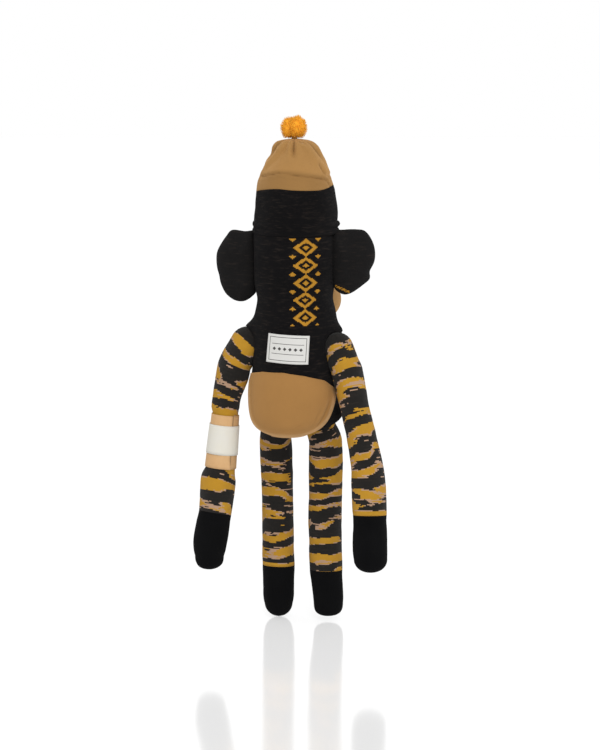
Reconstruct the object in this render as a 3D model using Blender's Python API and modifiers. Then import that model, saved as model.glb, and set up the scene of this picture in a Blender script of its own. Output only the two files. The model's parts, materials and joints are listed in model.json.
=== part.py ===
"""Sock monkey doll: knitted skins over stuffing, with a hat, a pompom and a paper band.

Metres, +Z up. The doll faces -Y and its left side is +X. The origin is at the
bottom centre of the doll's box.
"""
import math

import bmesh
import bpy
from mathutils import Matrix, Vector

# Cloth and clearances
GAP = 0.0003
BEND_GAP = 0.0008
KNIT_WALL = 0.0012
STUFFING_DEPTH = 0.0022
HAT_WALL = 0.0010
CUT_OVERRUN = 0.010
MERGE_DISTANCE = 0.00005
WELD_SHARE = 0.001

# Torso, from the seat's lowest point to the neck
SEAT_HEIGHT = 0.2000
NECK_HEIGHT = 0.3030
TORSO_RADIUS = 0.0413
RUMP_SETBACK = 0.0160
NECK_HALF_LENGTH = 0.0080
# (height share from seat to neck, radius share, set-back share)
TORSO_ROW_SHARES = (
    (0.000, 0.140, 1.00),
    (0.008, 0.360, 1.00),
    (0.040, 0.590, 0.97),
    (0.090, 0.760, 0.90),
    (0.165, 0.885, 0.80),
    (0.260, 0.965, 0.66),
    (0.390, 1.000, 0.52),
    (0.550, 0.970, 0.40),
    (0.710, 0.935, 0.28),
    (0.860, 0.915, 0.18),
    (1.000, 0.906, 0.10),
)

# Seat: the heel pocket in the torso's lower back
SEAT_LINE_HEIGHT = 0.2590
SEAT_RIM_BACK = 0.0190
SEAT_RIM_LEAN = 0.0140

# Head, from the neck to its top inside the hat
HEAD_TOP_HEIGHT = 0.4620
HEAD_RADIUS = 0.0385
# (height share from neck to head top, radius share, set-back share)
HEAD_ROW_SHARES = (
    (0.000, 0.972, 0.10),
    (0.080, 0.966, 0.05),
    (0.165, 0.961, 0.00),
    (0.270, 0.992, 0.00),
    (0.425, 1.000, 0.00),
    (0.575, 0.995, 0.00),
    (0.670, 0.974, 0.00),
    (0.745, 0.938, 0.00),
    (0.812, 0.896, 0.00),
    (0.882, 0.816, 0.00),
    (0.938, 0.675, 0.00),
    (0.975, 0.480, 0.00),
    (0.994, 0.285, 0.00),
    (1.000, 0.104, 0.00),
)

# Hat over the head
BRIM_LOW_HEIGHT = 0.3935
BRIM_TALL = 0.0135
BRIM_THICK = 0.0014
BAND_LOW_HEIGHT = 0.3960
CROWN_LOW_HEIGHT = 0.4330
CROWN_TOP_HEIGHT = 0.4780
CROWN_TIP_RADIUS = 0.0040
# (height share up the loose cloth above the head's shoulder, radius share)
CROWN_SLACK_SHARES = (
    (0.30, 0.850),
    (0.53, 0.765),
    (0.74, 0.640),
    (0.89, 0.480),
    (0.965, 0.300),
    (1.00, 0.110),
)

# Pompom and its tie
POMPOM_HALF_WIDTH = 0.0123
POMPOM_HALF_HEIGHT = 0.0112
TIE_RING_RADIUS = 0.0024
TIE_THREAD_RADIUS = 0.0006

# Ears
EAR_WIDTH = 0.0450
EAR_HEIGHT = 0.0760
EAR_HALF_THICK = 0.0150
EAR_LOW_HEIGHT = 0.3225
EAR_ROOT_SHRINK = 0.0032
EAR_SLOT_TALL = 0.0260
EAR_SLOT_WIDE = 0.0024
EAR_SLOT_DEEP = 0.0130
EAR_STUFFING_INSET = 0.0026
# (share across the ear from its root, share up the ear)
EAR_OUTLINE_SHARES = (
    (0.00, 0.14),
    (0.00, 0.50),
    (0.00, 0.88),
    (0.28, 1.00),
    (0.66, 0.99),
    (0.93, 0.84),
    (1.00, 0.56),
    (0.98, 0.30),
    (0.76, 0.07),
    (0.36, 0.00),
)
EAR_CROWN_SHARE = 0.60

# Face: muzzle, mouth and eyes
MUZZLE_HEIGHT = 0.3280
MUZZLE_FORWARD = 0.0360
MUZZLE_HALF_WIDTH = 0.0370
MUZZLE_HALF_DEPTH = 0.0400
MUZZLE_HALF_HEIGHT = 0.0220
MOUTH_YARN_RADIUS = 0.0008
MOUTH_HALF_SPREAD_DEG = 52.0
MOUTH_DROP_DEG = 10.0
EYE_HEIGHT = 0.3680
EYE_SPREAD_DEG = 21.0
EYE_FELT_RADIUS = 0.0085
EYE_FELT_THICK = 0.0012
EYE_BUTTON_RADIUS = 0.0062
EYE_BUTTON_THICK = 0.0028
DISC_ROUND_SHARE = 0.4

# Woven label on the back
LABEL_WIDTH = 0.0400
LABEL_TALL = 0.0266
LABEL_THICK = 0.0005
LABEL_HEIGHT = 0.2866
LABEL_TURN_DEG = 3.0
LABEL_TILT_DEG = 2.6

# Arms: root pivot, then reach outward, back and down to the hand's tip
ROOT_BALL_RADIUS = 0.0105
ROOT_SINK = 0.0030
ROOT_EDGE = 0.0030
SHOULDER_HEIGHT = 0.2860
LEFT_SHOULDER_BACK_DEG = 2.0
RIGHT_SHOULDER_BACK_DEG = 12.0
ARM_RADIUS = 0.0165
LEFT_ARM_REACH = 0.0330
LEFT_ARM_BACK = 0.0190
LEFT_HAND_TIP_HEIGHT = 0.0665
RIGHT_ARM_REACH = 0.0365
RIGHT_ARM_BACK = 0.0110
RIGHT_HAND_TIP_HEIGHT = 0.0645
# (reach share, back share, drop share)
LEFT_ARM_PATH_SHARES = (
    (0.00, 0.00, 0.000),
    (0.17, 0.03, 0.033),
    (0.31, 0.08, 0.072),
    (0.43, 0.16, 0.128),
    (0.51, 0.26, 0.190),
    (0.58, 0.38, 0.265),
    (0.71, 0.65, 0.510),
    (0.84, 0.88, 0.740),
    (0.94, 1.00, 0.870),
    (1.00, 1.00, 1.000),
)
RIGHT_ARM_PATH_SHARES = (
    (0.00, 0.00, 0.000),
    (0.14, 0.16, 0.033),
    (0.26, 0.30, 0.072),
    (0.36, 0.42, 0.128),
    (0.44, 0.52, 0.190),
    (0.52, 0.60, 0.265),
    (0.74, 0.78, 0.490),
    (0.86, 0.90, 0.730),
    (0.89, 1.00, 0.870),
    (1.00, 1.00, 1.000),
)
# (share of the way along the limb, radius share)
ARM_RADIUS_SHARES = (
    (0.000, 0.740),
    (0.040, 0.800),
    (0.090, 0.870),
    (0.160, 0.870),
    (0.250, 0.800),
    (0.340, 0.800),
    (0.480, 0.880),
    (0.580, 0.975),
    (0.700, 0.980),
    (0.760, 0.945),
    (0.850, 1.000),
    (0.920, 0.950),
    (0.965, 0.780),
    (0.988, 0.520),
    (1.000, 0.220),
)
ELBOW_SHARE = 0.245
ELBOW_HALF_LENGTH = 0.0140
WRIST_SHARE = 0.765

# Legs: root pivot, then reach outward, forward and down to the sole
HIP_HEIGHT = 0.2040
HIP_SPREAD = 0.0215
HIP_FORWARD = 0.0190
LEG_RADIUS = 0.0158
LEG_REACH = 0.0020
LEG_FORWARD = 0.0160
LEFT_SOLE_HEIGHT = 0.0
RIGHT_SOLE_HEIGHT = 0.0035
LEG_PATH_SHARES = (
    (0.00, 0.00, 0.000),
    (0.30, 0.30, 0.070),
    (0.70, 0.60, 0.170),
    (1.00, 0.76, 0.300),
    (1.00, 0.90, 0.550),
    (1.00, 1.00, 0.780),
    (1.00, 1.00, 0.930),
    (1.00, 1.00, 1.000),
)
LEFT_LEG_RADIUS_SHARES = (
    (0.000, 0.770),
    (0.050, 0.870),
    (0.100, 0.960),
    (0.200, 0.985),
    (0.400, 0.960),
    (0.600, 0.970),
    (0.750, 0.970),
    (0.850, 0.960),
    (0.900, 0.965),
    (0.945, 0.860),
    (0.975, 0.660),
    (0.993, 0.420),
    (1.000, 0.220),
)
RIGHT_LEG_RADIUS_SHARES = (
    (0.000, 0.770),
    (0.050, 0.870),
    (0.100, 0.960),
    (0.200, 1.000),
    (0.400, 1.000),
    (0.600, 0.990),
    (0.740, 1.010),
    (0.800, 0.960),
    (0.880, 0.955),
    (0.940, 0.930),
    (0.972, 0.800),
    (0.993, 0.560),
    (1.000, 0.300),
)
KNEE_SHARE = 0.420
KNEE_HALF_LENGTH = 0.0165
ANKLE_SHARE = 0.755

# Paper band and its label on the left forearm
BAND_TOP_SHARE = 0.338
BAND_END_SHARE = 0.556
BAND_THICK = 0.0004
BAND_CLEARANCE = 0.0010
BAND_LABEL_CLEARANCE = 0.0004
BAND_LABEL_TOP_SHARE = 0.372
BAND_LABEL_END_SHARE = 0.508
BAND_LABEL_THICK = 0.0003

# Facets
BODY_BEVEL_RESOLUTION = 8
LIMB_BEVEL_RESOLUTION = 3
YARN_BEVEL_RESOLUTION = 1
TURN_STEPS = 20
SMALL_TURN_STEPS = 14
BALL_SEGMENTS = 12
BALL_RINGS = 7
DISH_SEGMENTS = 24
DISH_RINGS = 14
PATH_STEPS = 6
LIMB_STATIONS = 6
BEND_STATIONS = 4
TOE_STATIONS = 7
BAND_STATIONS = 3
LABEL_COLUMNS = 8
LABEL_ROWS = 3
MUZZLE_SEGMENTS = 20
MUZZLE_RINGS = 10
MOUTH_POINTS = 15
TIE_PROFILE_POINTS = 6
POMPOM_SEGMENTS = 14
POMPOM_RINGS = 9
EAR_LEVELS = 1

# Colours (linear) of the yarns and papers
BLACK_KNIT = (0.010, 0.009, 0.009, 1.0)
TOE_BLACK = (0.006, 0.006, 0.006, 1.0)
STRIPED_KNIT = (0.25, 0.15, 0.03, 1.0)
TAN_KNIT = (0.40, 0.21, 0.07, 1.0)
GOLD_WOOL = (0.73, 0.27, 0.018, 1.0)
STUFFING_WHITE = (0.80, 0.79, 0.75, 1.0)
LABEL_WHITE = (0.74, 0.73, 0.70, 1.0)
KRAFT_PAPER = (0.66, 0.42, 0.21, 1.0)
FELT_CREAM = (0.72, 0.66, 0.52, 1.0)
BUTTON_BLACK = (0.012, 0.012, 0.013, 1.0)
THREAD_BROWN = (0.10, 0.05, 0.02, 1.0)
CLOTH_ROUGHNESS = 0.95
PAPER_ROUGHNESS = 0.75
BUTTON_ROUGHNESS = 0.25


def clear_scene():
    for obj in list(bpy.data.objects):
        bpy.data.objects.remove(obj, do_unlink=True)


def new_collection(name):
    made = bpy.data.collections.new(name)
    bpy.context.scene.collection.children.link(made)
    return made


clear_scene()
PARTS = new_collection("sock_monkey_doll")
CUTTERS = new_collection("cutters")


def material(name, colour, roughness, metallic=0.0):
    made = bpy.data.materials.new(name)
    made.use_nodes = True
    shader = made.node_tree.nodes["Principled BSDF"]
    shader.inputs["Base Color"].default_value = colour
    shader.inputs["Roughness"].default_value = roughness
    shader.inputs["Metallic"].default_value = metallic
    return made


def body_pivot(name, place, parent=None):
    """An empty on a joint's axis, which carries the pieces of one moving body."""
    empty = bpy.data.objects.new(name + "_pivot", None)
    PARTS.objects.link(empty)
    if parent is not None:
        empty.parent = parent
    bpy.context.view_layer.update()
    empty.matrix_world = Matrix.Translation(place)
    bpy.context.view_layer.update()
    return empty


DOLL = body_pivot("doll", Vector((0.0, 0.0, 0.0)))


def finish(obj, pivot, colour, roughness=CLOTH_ROUGHNESS, metallic=0.0):
    """Gives a piece its own material, smooth shading and the body that it moves with."""
    obj.data.materials.clear()
    obj.data.materials.append(material(obj.name, colour, roughness, metallic))
    obj.data.shade_smooth()
    obj.parent = pivot
    obj.matrix_parent_inverse = pivot.matrix_world.inverted()
    return obj


def make_cutter(obj):
    for held in list(obj.users_collection):
        held.objects.unlink(obj)
    CUTTERS.objects.link(obj)
    obj.parent = DOLL
    obj.hide_render = True
    obj.display_type = "WIRE"
    return obj


def object_from_bmesh(name, work):
    mesh = bpy.data.meshes.new(name)
    work.to_mesh(mesh)
    work.free()
    obj = bpy.data.objects.new(name, mesh)
    PARTS.objects.link(obj)
    return obj


def smooth_rows(rows, steps):
    """Points on a smooth curve through the rows, with steps points to each interval."""
    out = []
    last = len(rows) - 1
    for i in range(last):
        before = rows[max(i - 1, 0)]
        a = rows[i]
        b = rows[i + 1]
        after = rows[min(i + 2, last)]
        for k in range(steps):
            t = k / steps
            out.append(
                tuple(
                    0.5 * (2 * q + (r - p) * t
                           + (2 * p - 5 * q + 4 * r - s) * t ** 2
                           + (3 * q - p - 3 * r + s) * t ** 3)
                    for p, q, r, s in zip(before, a, b, after)
                )
            )
    out.append(tuple(rows[-1]))
    return out


def at_key(rows, key):
    """The row at a key between those of a table, whose first column rises."""
    if key <= rows[0][0]:
        return rows[0]
    for low, high in zip(rows, rows[1:]):
        if key <= high[0]:
            t = (key - low[0]) / (high[0] - low[0])
            return tuple(p + (q - p) * t for p, q in zip(low, high))
    return rows[-1]


def tube(name, places, radii, resolution, open_start=False, open_end=False):
    """A closed tube along the places, made from a bevelled curve, or one open at its ends."""
    widest = max(radii)
    curve = bpy.data.curves.new(name, "CURVE")
    curve.dimensions = "3D"
    curve.bevel_depth = widest
    curve.bevel_resolution = resolution
    curve.use_fill_caps = True
    spline = curve.splines.new("POLY")
    spline.points.add(len(places) - 1)
    for point, place, radius in zip(spline.points, places, radii):
        point.co = (*place, 1.0)
        point.radius = radius / widest
    guide = bpy.data.objects.new(name + "_curve", curve)
    PARTS.objects.link(guide)
    graph = bpy.context.evaluated_depsgraph_get()
    mesh = bpy.data.meshes.new_from_object(guide.evaluated_get(graph))
    world = guide.matrix_world.copy()
    bpy.data.objects.remove(guide, do_unlink=True)
    work = bmesh.new()
    work.from_mesh(mesh)
    bmesh.ops.remove_doubles(work, verts=work.verts, dist=min(radii) * WELD_SHARE)
    start, end = Vector(places[0]), Vector(places[-1])
    dropped = []
    for face in work.faces:
        middle = face.calc_center_median()
        at_start = (middle - start).length < (middle - end).length
        if len(face.verts) == 3 and (open_start if at_start else open_end):
            dropped.append(face)
    bmesh.ops.delete(work, geom=dropped, context="FACES_ONLY")
    bmesh.ops.recalc_face_normals(work, faces=work.faces)
    if open_start or open_end:
        face_outward(work, start, end)
    work.to_mesh(mesh)
    work.free()
    mesh.name = name
    obj = bpy.data.objects.new(name, mesh)
    obj.matrix_world = world
    PARTS.objects.link(obj)
    return obj


def face_outward(work, start, end):
    """Turns an open tube's faces so that they look away from the line through its ends."""
    along = (end - start).normalized()
    middle = (start + end) / 2
    votes = 0.0
    for face in work.faces:
        across = face.calc_center_median() - middle
        across -= along * across.dot(along)
        votes += face.normal.dot(across) * face.calc_area()
    if votes < 0:
        bmesh.ops.reverse_faces(work, faces=work.faces)


def shell(obj, wall):
    """A wall of cloth inward from an open surface."""
    solid = obj.modifiers.new("wall", "SOLIDIFY")
    solid.thickness = wall
    solid.offset = -1.0
    solid.use_even_offset = True
    return obj


def draw_in(obj, depth):
    """Sinks a closed surface by a depth, as stuffing lies under the cloth."""
    sunk = obj.modifiers.new("drawn_in", "DISPLACE")
    sunk.strength = -depth
    sunk.mid_level = 0.0
    return obj


def cut(obj, cutter, operation="DIFFERENCE"):
    step = obj.modifiers.new(cutter.name, "BOOLEAN")
    step.operation = operation
    step.solver = "EXACT"
    step.object = cutter
    return obj


def ellipsoid(name, centre, half_sizes, segments, rings):
    work = bmesh.new()
    bmesh.ops.create_uvsphere(work, u_segments=segments, v_segments=rings, radius=1.0)
    place = Matrix.Translation(centre) @ Matrix.Diagonal((*half_sizes, 1.0))
    bmesh.ops.transform(work, matrix=place, verts=work.verts)
    return object_from_bmesh(name, work)


def block(name, low, high, shear=None):
    """A box between two corners, which may lean by a shear matrix."""
    work = bmesh.new()
    bmesh.ops.create_cube(work, size=1.0)
    size = Vector(high) - Vector(low)
    middle = (Vector(high) + Vector(low)) / 2
    place = Matrix.Translation(middle) @ Matrix.Diagonal((*size, 1.0))
    bmesh.ops.transform(work, matrix=place, verts=work.verts)
    if shear is not None:
        bmesh.ops.transform(work, matrix=shear, verts=work.verts)
    return object_from_bmesh(name, work)


def turned(name, profile, steps, closed=True):
    """A profile of (radius, height) points, outer side first and downward, turned about Z."""
    work = bmesh.new()
    verts = [work.verts.new((radius, 0.0, height)) for radius, height in profile]
    for a, b in zip(verts, verts[1:]):
        work.edges.new((a, b))
    if closed:
        work.edges.new((verts[-1], verts[0]))
    obj = object_from_bmesh(name, work)
    screw = obj.modifiers.new("turn", "SCREW")
    screw.steps = steps
    screw.render_steps = steps
    screw.use_merge_vertices = True
    screw.merge_threshold = MERGE_DISTANCE
    return obj


def column_rows(row_shares, low, high, radius):
    """(height, radius, set-back) along the torso or the head."""
    return [
        (low + share * (high - low), radius * wide, RUMP_SETBACK * back)
        for share, wide, back in row_shares
    ]


def column(name, rows, inset=0.0, low=None, high=None, **ends):
    """A stretch of the torso, head or hat, inset from its outer surface, in level rings."""
    first = rows[0][0] if low is None else low
    last = rows[-1][0] if high is None else high
    inner = [row for row in rows if first + GAP < row[0] < last - GAP]
    picked = [at_key(rows, first)] + inner + [at_key(rows, last)]
    places = [Vector((0.0, 0.0, height)) for height, wide, back in picked]
    radii = [max(wide - inset, GAP) for height, wide, back in picked]
    obj = tube(name, places, radii, BODY_BEVEL_RESOLUTION, **ends)
    for vert in obj.data.vertices:
        vert.co.y += at_key(rows, vert.co.z)[2]
    return obj


TORSO_ROWS = column_rows(TORSO_ROW_SHARES, SEAT_HEIGHT, NECK_HEIGHT, TORSO_RADIUS)
HEAD_ROWS = column_rows(HEAD_ROW_SHARES, NECK_HEIGHT, HEAD_TOP_HEIGHT, HEAD_RADIUS)
TORSO_TOP = NECK_HEIGHT - NECK_HALF_LENGTH
HEAD_LOW = NECK_HEIGHT + NECK_HALF_LENGTH


class Limb:
    """An arm or a leg: a smooth path from its root pivot to its tip, with a radius along it."""

    def __init__(self, pivot, reach, path_shares, radius, radius_shares, bend_share, bend_half, end_share):
        self.pivot = Vector(pivot)
        self.bend_share = bend_share
        self.bend_half = bend_half
        self.end_share = end_share
        rows = [tuple(p + s * r for p, s, r in zip(pivot, shares, reach)) for shares in path_shares]
        self.places = [Vector(row) for row in smooth_rows(rows, PATH_STEPS)]
        self.run = [0.0]
        for a, b in zip(self.places, self.places[1:]):
            self.run.append(self.run[-1] + (b - a).length)
        self.length = self.run[-1]
        self.radius = radius
        self.radius_shares = smooth_rows(radius_shares, PATH_STEPS)

    def place(self, share):
        rows = [(run, *place) for run, place in zip(self.run, self.places)]
        return Vector(at_key(rows, share * self.length)[1:])

    def width(self, share):
        return self.radius * at_key(self.radius_shares, share)[1]

    def stretch(self, name, shares, inset=0.0, resolution=LIMB_BEVEL_RESOLUTION, **ends):
        """A stretch through shares of the limb's length, inset from its outer surface."""
        places = [self.place(share) for share in shares]
        radii = [max(self.width(share) - inset, GAP) for share in shares]
        return tube(name, places, radii, resolution, **ends)


def even_shares(start, end, count):
    return [start + (end - start) * k / count for k in range(count + 1)]


def tip_shares(start, count):
    """Shares up to a limb's tip, closer together towards it."""
    return [start + (1.0 - start) * math.sin(k / count * math.pi / 2) for k in range(count + 1)]


def root_place(height, sink, back_deg, side):
    """The pivot of an arm on the torso's side, its ball sunk a little into the torso."""
    row = at_key(TORSO_ROWS, height)
    out = row[1] + ROOT_BALL_RADIUS - sink
    turn = math.radians(back_deg)
    return Vector((side * out * math.cos(turn), row[2] + out * math.sin(turn), height))


def root_dish(name, pivot):
    """A ball that clears a root ball, whose own flat faces come no nearer to it than the gap."""
    clear = ROOT_BALL_RADIUS + GAP
    size = clear / (math.cos(math.pi / DISH_SEGMENTS) * math.cos(math.pi / DISH_RINGS / 2))
    return make_cutter(ellipsoid(name, pivot, (size, size, size), DISH_SEGMENTS, DISH_RINGS))


def build_limb(names, limb, parent, flat=None):
    """The seven pieces of an arm or a leg; returns the pivot of its lower body."""
    ball_name, upper_name, upper_stuffing, bend_name, lower_name, lower_stuffing, end_name = names
    length = limb.length
    half_gap = BEND_GAP / 2 / length
    bend_half_share = limb.bend_half / length
    root = body_pivot(ball_name, limb.pivot, parent)
    size = ROOT_BALL_RADIUS
    ball = ellipsoid(ball_name, limb.pivot, (size, size, size), BALL_SEGMENTS, BALL_RINGS)
    finish(ball, root, STRIPED_KNIT)

    upper_end = limb.bend_share - bend_half_share - half_gap
    upper = body_pivot(upper_name, limb.pivot, root)
    open_ends = {"open_start": True, "open_end": True}
    skin = limb.stretch(upper_name, even_shares(ROOT_EDGE / length, upper_end, LIMB_STATIONS), **open_ends)
    finish(shell(skin, KNIT_WALL), upper, STRIPED_KNIT)
    core_start = (ROOT_BALL_RADIUS + GAP) / length
    core = limb.stretch(upper_stuffing, even_shares(core_start, upper_end, LIMB_STATIONS))
    finish(draw_in(core, STUFFING_DEPTH), upper, STUFFING_WHITE)
    if flat is not None:
        cut(skin, flat)
        cut(core, flat)

    bend_start = limb.bend_share - bend_half_share + half_gap
    bend_end = limb.bend_share + bend_half_share - half_gap
    bend = limb.stretch(bend_name, even_shares(bend_start, bend_end, BEND_STATIONS))
    finish(bend, upper, STRIPED_KNIT)

    lower = body_pivot(lower_name, limb.place(limb.bend_share), upper)
    lower_start = limb.bend_share + bend_half_share + half_gap
    lower_shares = even_shares(lower_start, limb.end_share - half_gap, LIMB_STATIONS)
    toe_shares = tip_shares(limb.end_share + half_gap, TOE_STATIONS)
    skin = limb.stretch(lower_name, lower_shares, **open_ends)
    finish(shell(skin, KNIT_WALL), lower, STRIPED_KNIT)
    toe_skin = limb.stretch(end_name, toe_shares, open_start=True)
    finish(shell(toe_skin, KNIT_WALL), lower, TOE_BLACK)
    core = limb.stretch(lower_stuffing, lower_shares + toe_shares)
    finish(draw_in(core, STUFFING_DEPTH), lower, STUFFING_WHITE)
    return lower


def arm_limb(pivot, reach, path_shares):
    bend = (ELBOW_SHARE, ELBOW_HALF_LENGTH, WRIST_SHARE)
    return Limb(pivot, reach, path_shares, ARM_RADIUS, ARM_RADIUS_SHARES, *bend)


def left_arm_limb():
    pivot = root_place(SHOULDER_HEIGHT, ROOT_SINK, LEFT_SHOULDER_BACK_DEG, 1.0)
    reach = (LEFT_ARM_REACH, LEFT_ARM_BACK, LEFT_HAND_TIP_HEIGHT - SHOULDER_HEIGHT)
    return arm_limb(pivot, reach, LEFT_ARM_PATH_SHARES)


def right_arm_limb():
    pivot = root_place(SHOULDER_HEIGHT, ROOT_SINK, RIGHT_SHOULDER_BACK_DEG, -1.0)
    reach = (-RIGHT_ARM_REACH, RIGHT_ARM_BACK, RIGHT_HAND_TIP_HEIGHT - SHOULDER_HEIGHT)
    return arm_limb(pivot, reach, RIGHT_ARM_PATH_SHARES)


def leg_limb(side, sole_height, radius_shares):
    pivot = Vector((side * HIP_SPREAD, -HIP_FORWARD, HIP_HEIGHT))
    reach = (side * LEG_REACH, -LEG_FORWARD, sole_height - HIP_HEIGHT)
    bend = (KNEE_SHARE, KNEE_HALF_LENGTH, ANKLE_SHARE)
    return Limb(pivot, reach, LEG_PATH_SHARES, LEG_RADIUS, radius_shares, *bend)


def limb_names(side, kind):
    if kind == "arm":
        ends = ("shoulder", "upper_arm", "upper_arm_stuffing", "elbow", "forearm",
                "forearm_stuffing", "hand")
    else:
        ends = ("hip", "thigh", "thigh_stuffing", "knee", "shin", "shin_stuffing", "foot")
    return [side + "_" + end for end in ends]


def arm_flat():
    """The room that the arms' roots leave to the torso, so that they can swing beside it."""
    low = SHOULDER_HEIGHT - 2 * ROOT_BALL_RADIUS
    high = SHOULDER_HEIGHT + 2 * ROOT_BALL_RADIUS
    half = at_key(TORSO_ROWS, SHOULDER_HEIGHT - ARM_RADIUS)[1] + GAP
    return make_cutter(block("arm_flat", (-half, -TORSO_RADIUS, low), (half, 2 * TORSO_RADIUS, high)))


def build_torso(root, limbs):
    """Torso skin and stuffing, dished where the limbs are sewn on, with the heel pocket as seat."""
    dishes = [root_dish("root_dish_" + str(i), limb.pivot) for i, limb in enumerate(limbs)]
    lean = Matrix.Identity(4)
    lean[1][2] = SEAT_RIM_LEAN / (SEAT_LINE_HEIGHT - SEAT_HEIGHT)
    settle = Matrix.Translation((0.0, 0.0, SEAT_LINE_HEIGHT))
    shear = settle @ lean @ settle.inverted()
    reach = TORSO_RADIUS + RUMP_SETBACK + CUT_OVERRUN
    back = (-reach, SEAT_RIM_BACK, SEAT_HEIGHT - CUT_OVERRUN)
    far = (reach, 2 * reach, SEAT_LINE_HEIGHT)
    seat_zone = make_cutter(block("seat_zone", back, far, shear))
    wider = (-reach, SEAT_RIM_BACK - GAP, SEAT_HEIGHT - CUT_OVERRUN)
    beyond = (reach, 2 * reach, SEAT_LINE_HEIGHT + GAP)
    seat_room = make_cutter(block("seat_room", wider, beyond, shear))

    skin = column("torso_skin", TORSO_ROWS, high=TORSO_TOP, open_end=True)
    shell(skin, KNIT_WALL)
    cut(skin, seat_room)
    seat = column("seat_skin", TORSO_ROWS, high=TORSO_TOP, open_end=True)
    shell(seat, KNIT_WALL)
    cut(seat, seat_zone, "INTERSECT")
    core = draw_in(column("torso_stuffing", TORSO_ROWS, high=TORSO_TOP), STUFFING_DEPTH)
    for dish in dishes:
        cut(skin, dish)
        cut(core, dish)
    finish(skin, root, BLACK_KNIT)
    finish(seat, root, TAN_KNIT)
    finish(core, root, STUFFING_WHITE)


def build_label(root):
    """The woven label, bent round the torso's back."""
    row = at_key(TORSO_ROWS, LABEL_HEIGHT)
    inner = row[1] + GAP
    work = bmesh.new()
    bmesh.ops.create_grid(work, x_segments=LABEL_COLUMNS, y_segments=LABEL_ROWS, size=0.5)
    tilt = Matrix.Rotation(math.radians(LABEL_TILT_DEG), 4, "Z")
    for vert in work.verts:
        flat = tilt @ Vector((vert.co.x * LABEL_WIDTH, vert.co.y * LABEL_TALL, 0.0))
        height = LABEL_HEIGHT + flat.y
        there = at_key(TORSO_ROWS, height)
        radius = there[1] + GAP
        angle = math.radians(90.0 + LABEL_TURN_DEG) - flat.x / inner
        vert.co = (radius * math.cos(angle), there[2] + radius * math.sin(angle), height)
    bmesh.ops.recalc_face_normals(work, faces=work.faces)
    if sum((f.normal.y for f in work.faces)) < 0:
        bmesh.ops.reverse_faces(work, faces=work.faces)
    label = object_from_bmesh("back_label", work)
    sheet = label.modifiers.new("sheet", "SOLIDIFY")
    sheet.thickness = LABEL_THICK
    sheet.offset = 1.0
    finish(label, root, LABEL_WHITE)


def build_head(head):
    skin = column("head_skin", HEAD_ROWS, low=HEAD_LOW + GAP, open_start=True)
    finish(shell(skin, KNIT_WALL), head, BLACK_KNIT)
    core = column("head_stuffing", HEAD_ROWS, low=HEAD_LOW + GAP)
    finish(draw_in(core, STUFFING_DEPTH), head, STUFFING_WHITE)


def build_neck(root):
    rows = TORSO_ROWS[:-1] + HEAD_ROWS
    neck = column("neck", rows, low=TORSO_TOP + GAP, high=HEAD_LOW)
    finish(neck, root, BLACK_KNIT)


def build_muzzle(head):
    centre = (0.0, -MUZZLE_FORWARD, MUZZLE_HEIGHT)
    half = Vector((MUZZLE_HALF_WIDTH, MUZZLE_HALF_DEPTH, MUZZLE_HALF_HEIGHT))
    low = MUZZLE_HEIGHT - MUZZLE_HALF_HEIGHT - CUT_OVERRUN
    high = MUZZLE_HEIGHT + MUZZLE_HALF_HEIGHT + CUT_OVERRUN
    rows = TORSO_ROWS[:-1] + HEAD_ROWS
    head_form = make_cutter(column("head_form", rows, -GAP, low=low, high=high))
    skin = ellipsoid("muzzle_skin", centre, half, MUZZLE_SEGMENTS, MUZZLE_RINGS)
    shell(skin, KNIT_WALL)
    cut(skin, head_form)
    finish(skin, head, TAN_KNIT)
    core = ellipsoid("muzzle_stuffing", centre, half, MUZZLE_SEGMENTS, MUZZLE_RINGS)
    draw_in(core, STUFFING_DEPTH)
    cut(core, head_form)
    finish(core, head, STUFFING_WHITE)

    off = GAP + MOUTH_YARN_RADIUS
    places = []
    for k in range(MOUTH_POINTS):
        turn = math.radians(MOUTH_HALF_SPREAD_DEG) * (2 * k / (MOUTH_POINTS - 1) - 1)
        drop = -math.radians(MOUTH_DROP_DEG) * math.cos(turn)
        side = math.sin(turn) * math.cos(drop) * (half.x + off)
        front = math.cos(turn) * math.cos(drop) * (half.y + off)
        places.append(Vector(centre) + Vector((side, -front, math.sin(drop) * (half.z + off))))
    mouth = tube("mouth_stitch", places, [MOUTH_YARN_RADIUS] * MOUTH_POINTS, YARN_BEVEL_RESOLUTION)
    finish(mouth, head, BLACK_KNIT)


def build_eyes(head):
    """A turned button on a felt disc at each side of the face."""
    surface = at_key(HEAD_ROWS, EYE_HEIGHT)[1]
    for side, sign in (("left", 1.0), ("right", -1.0)):
        turn = math.radians(-90.0 + sign * EYE_SPREAD_DEG)
        out = Vector((math.cos(turn), math.sin(turn), 0.0))
        facing = out.to_track_quat("Z", "Y").to_matrix().to_4x4()
        seat = surface + GAP
        felt = disc(side + "_eye_felt", EYE_FELT_RADIUS, EYE_FELT_THICK)
        felt.matrix_world = Matrix.Translation(out * seat + Vector((0.0, 0.0, EYE_HEIGHT))) @ facing
        seat += EYE_FELT_THICK + GAP
        button = disc(side + "_eye_button", EYE_BUTTON_RADIUS, EYE_BUTTON_THICK)
        button.matrix_world = Matrix.Translation(out * seat + Vector((0.0, 0.0, EYE_HEIGHT))) @ facing
        bpy.context.view_layer.update()
        finish(felt, head, FELT_CREAM)
        finish(button, head, BUTTON_BLACK, BUTTON_ROUGHNESS)


def disc(name, radius, thick):
    """A turned disc with a rounded rim, its flat underside at height zero."""
    soft = thick * DISC_ROUND_SHARE
    profile = [(0.0, thick), (radius - soft, thick), (radius, thick - soft), (radius, 0.0), (0.0, 0.0)]
    return turned(name, profile, SMALL_TURN_STEPS, closed=False)


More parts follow.
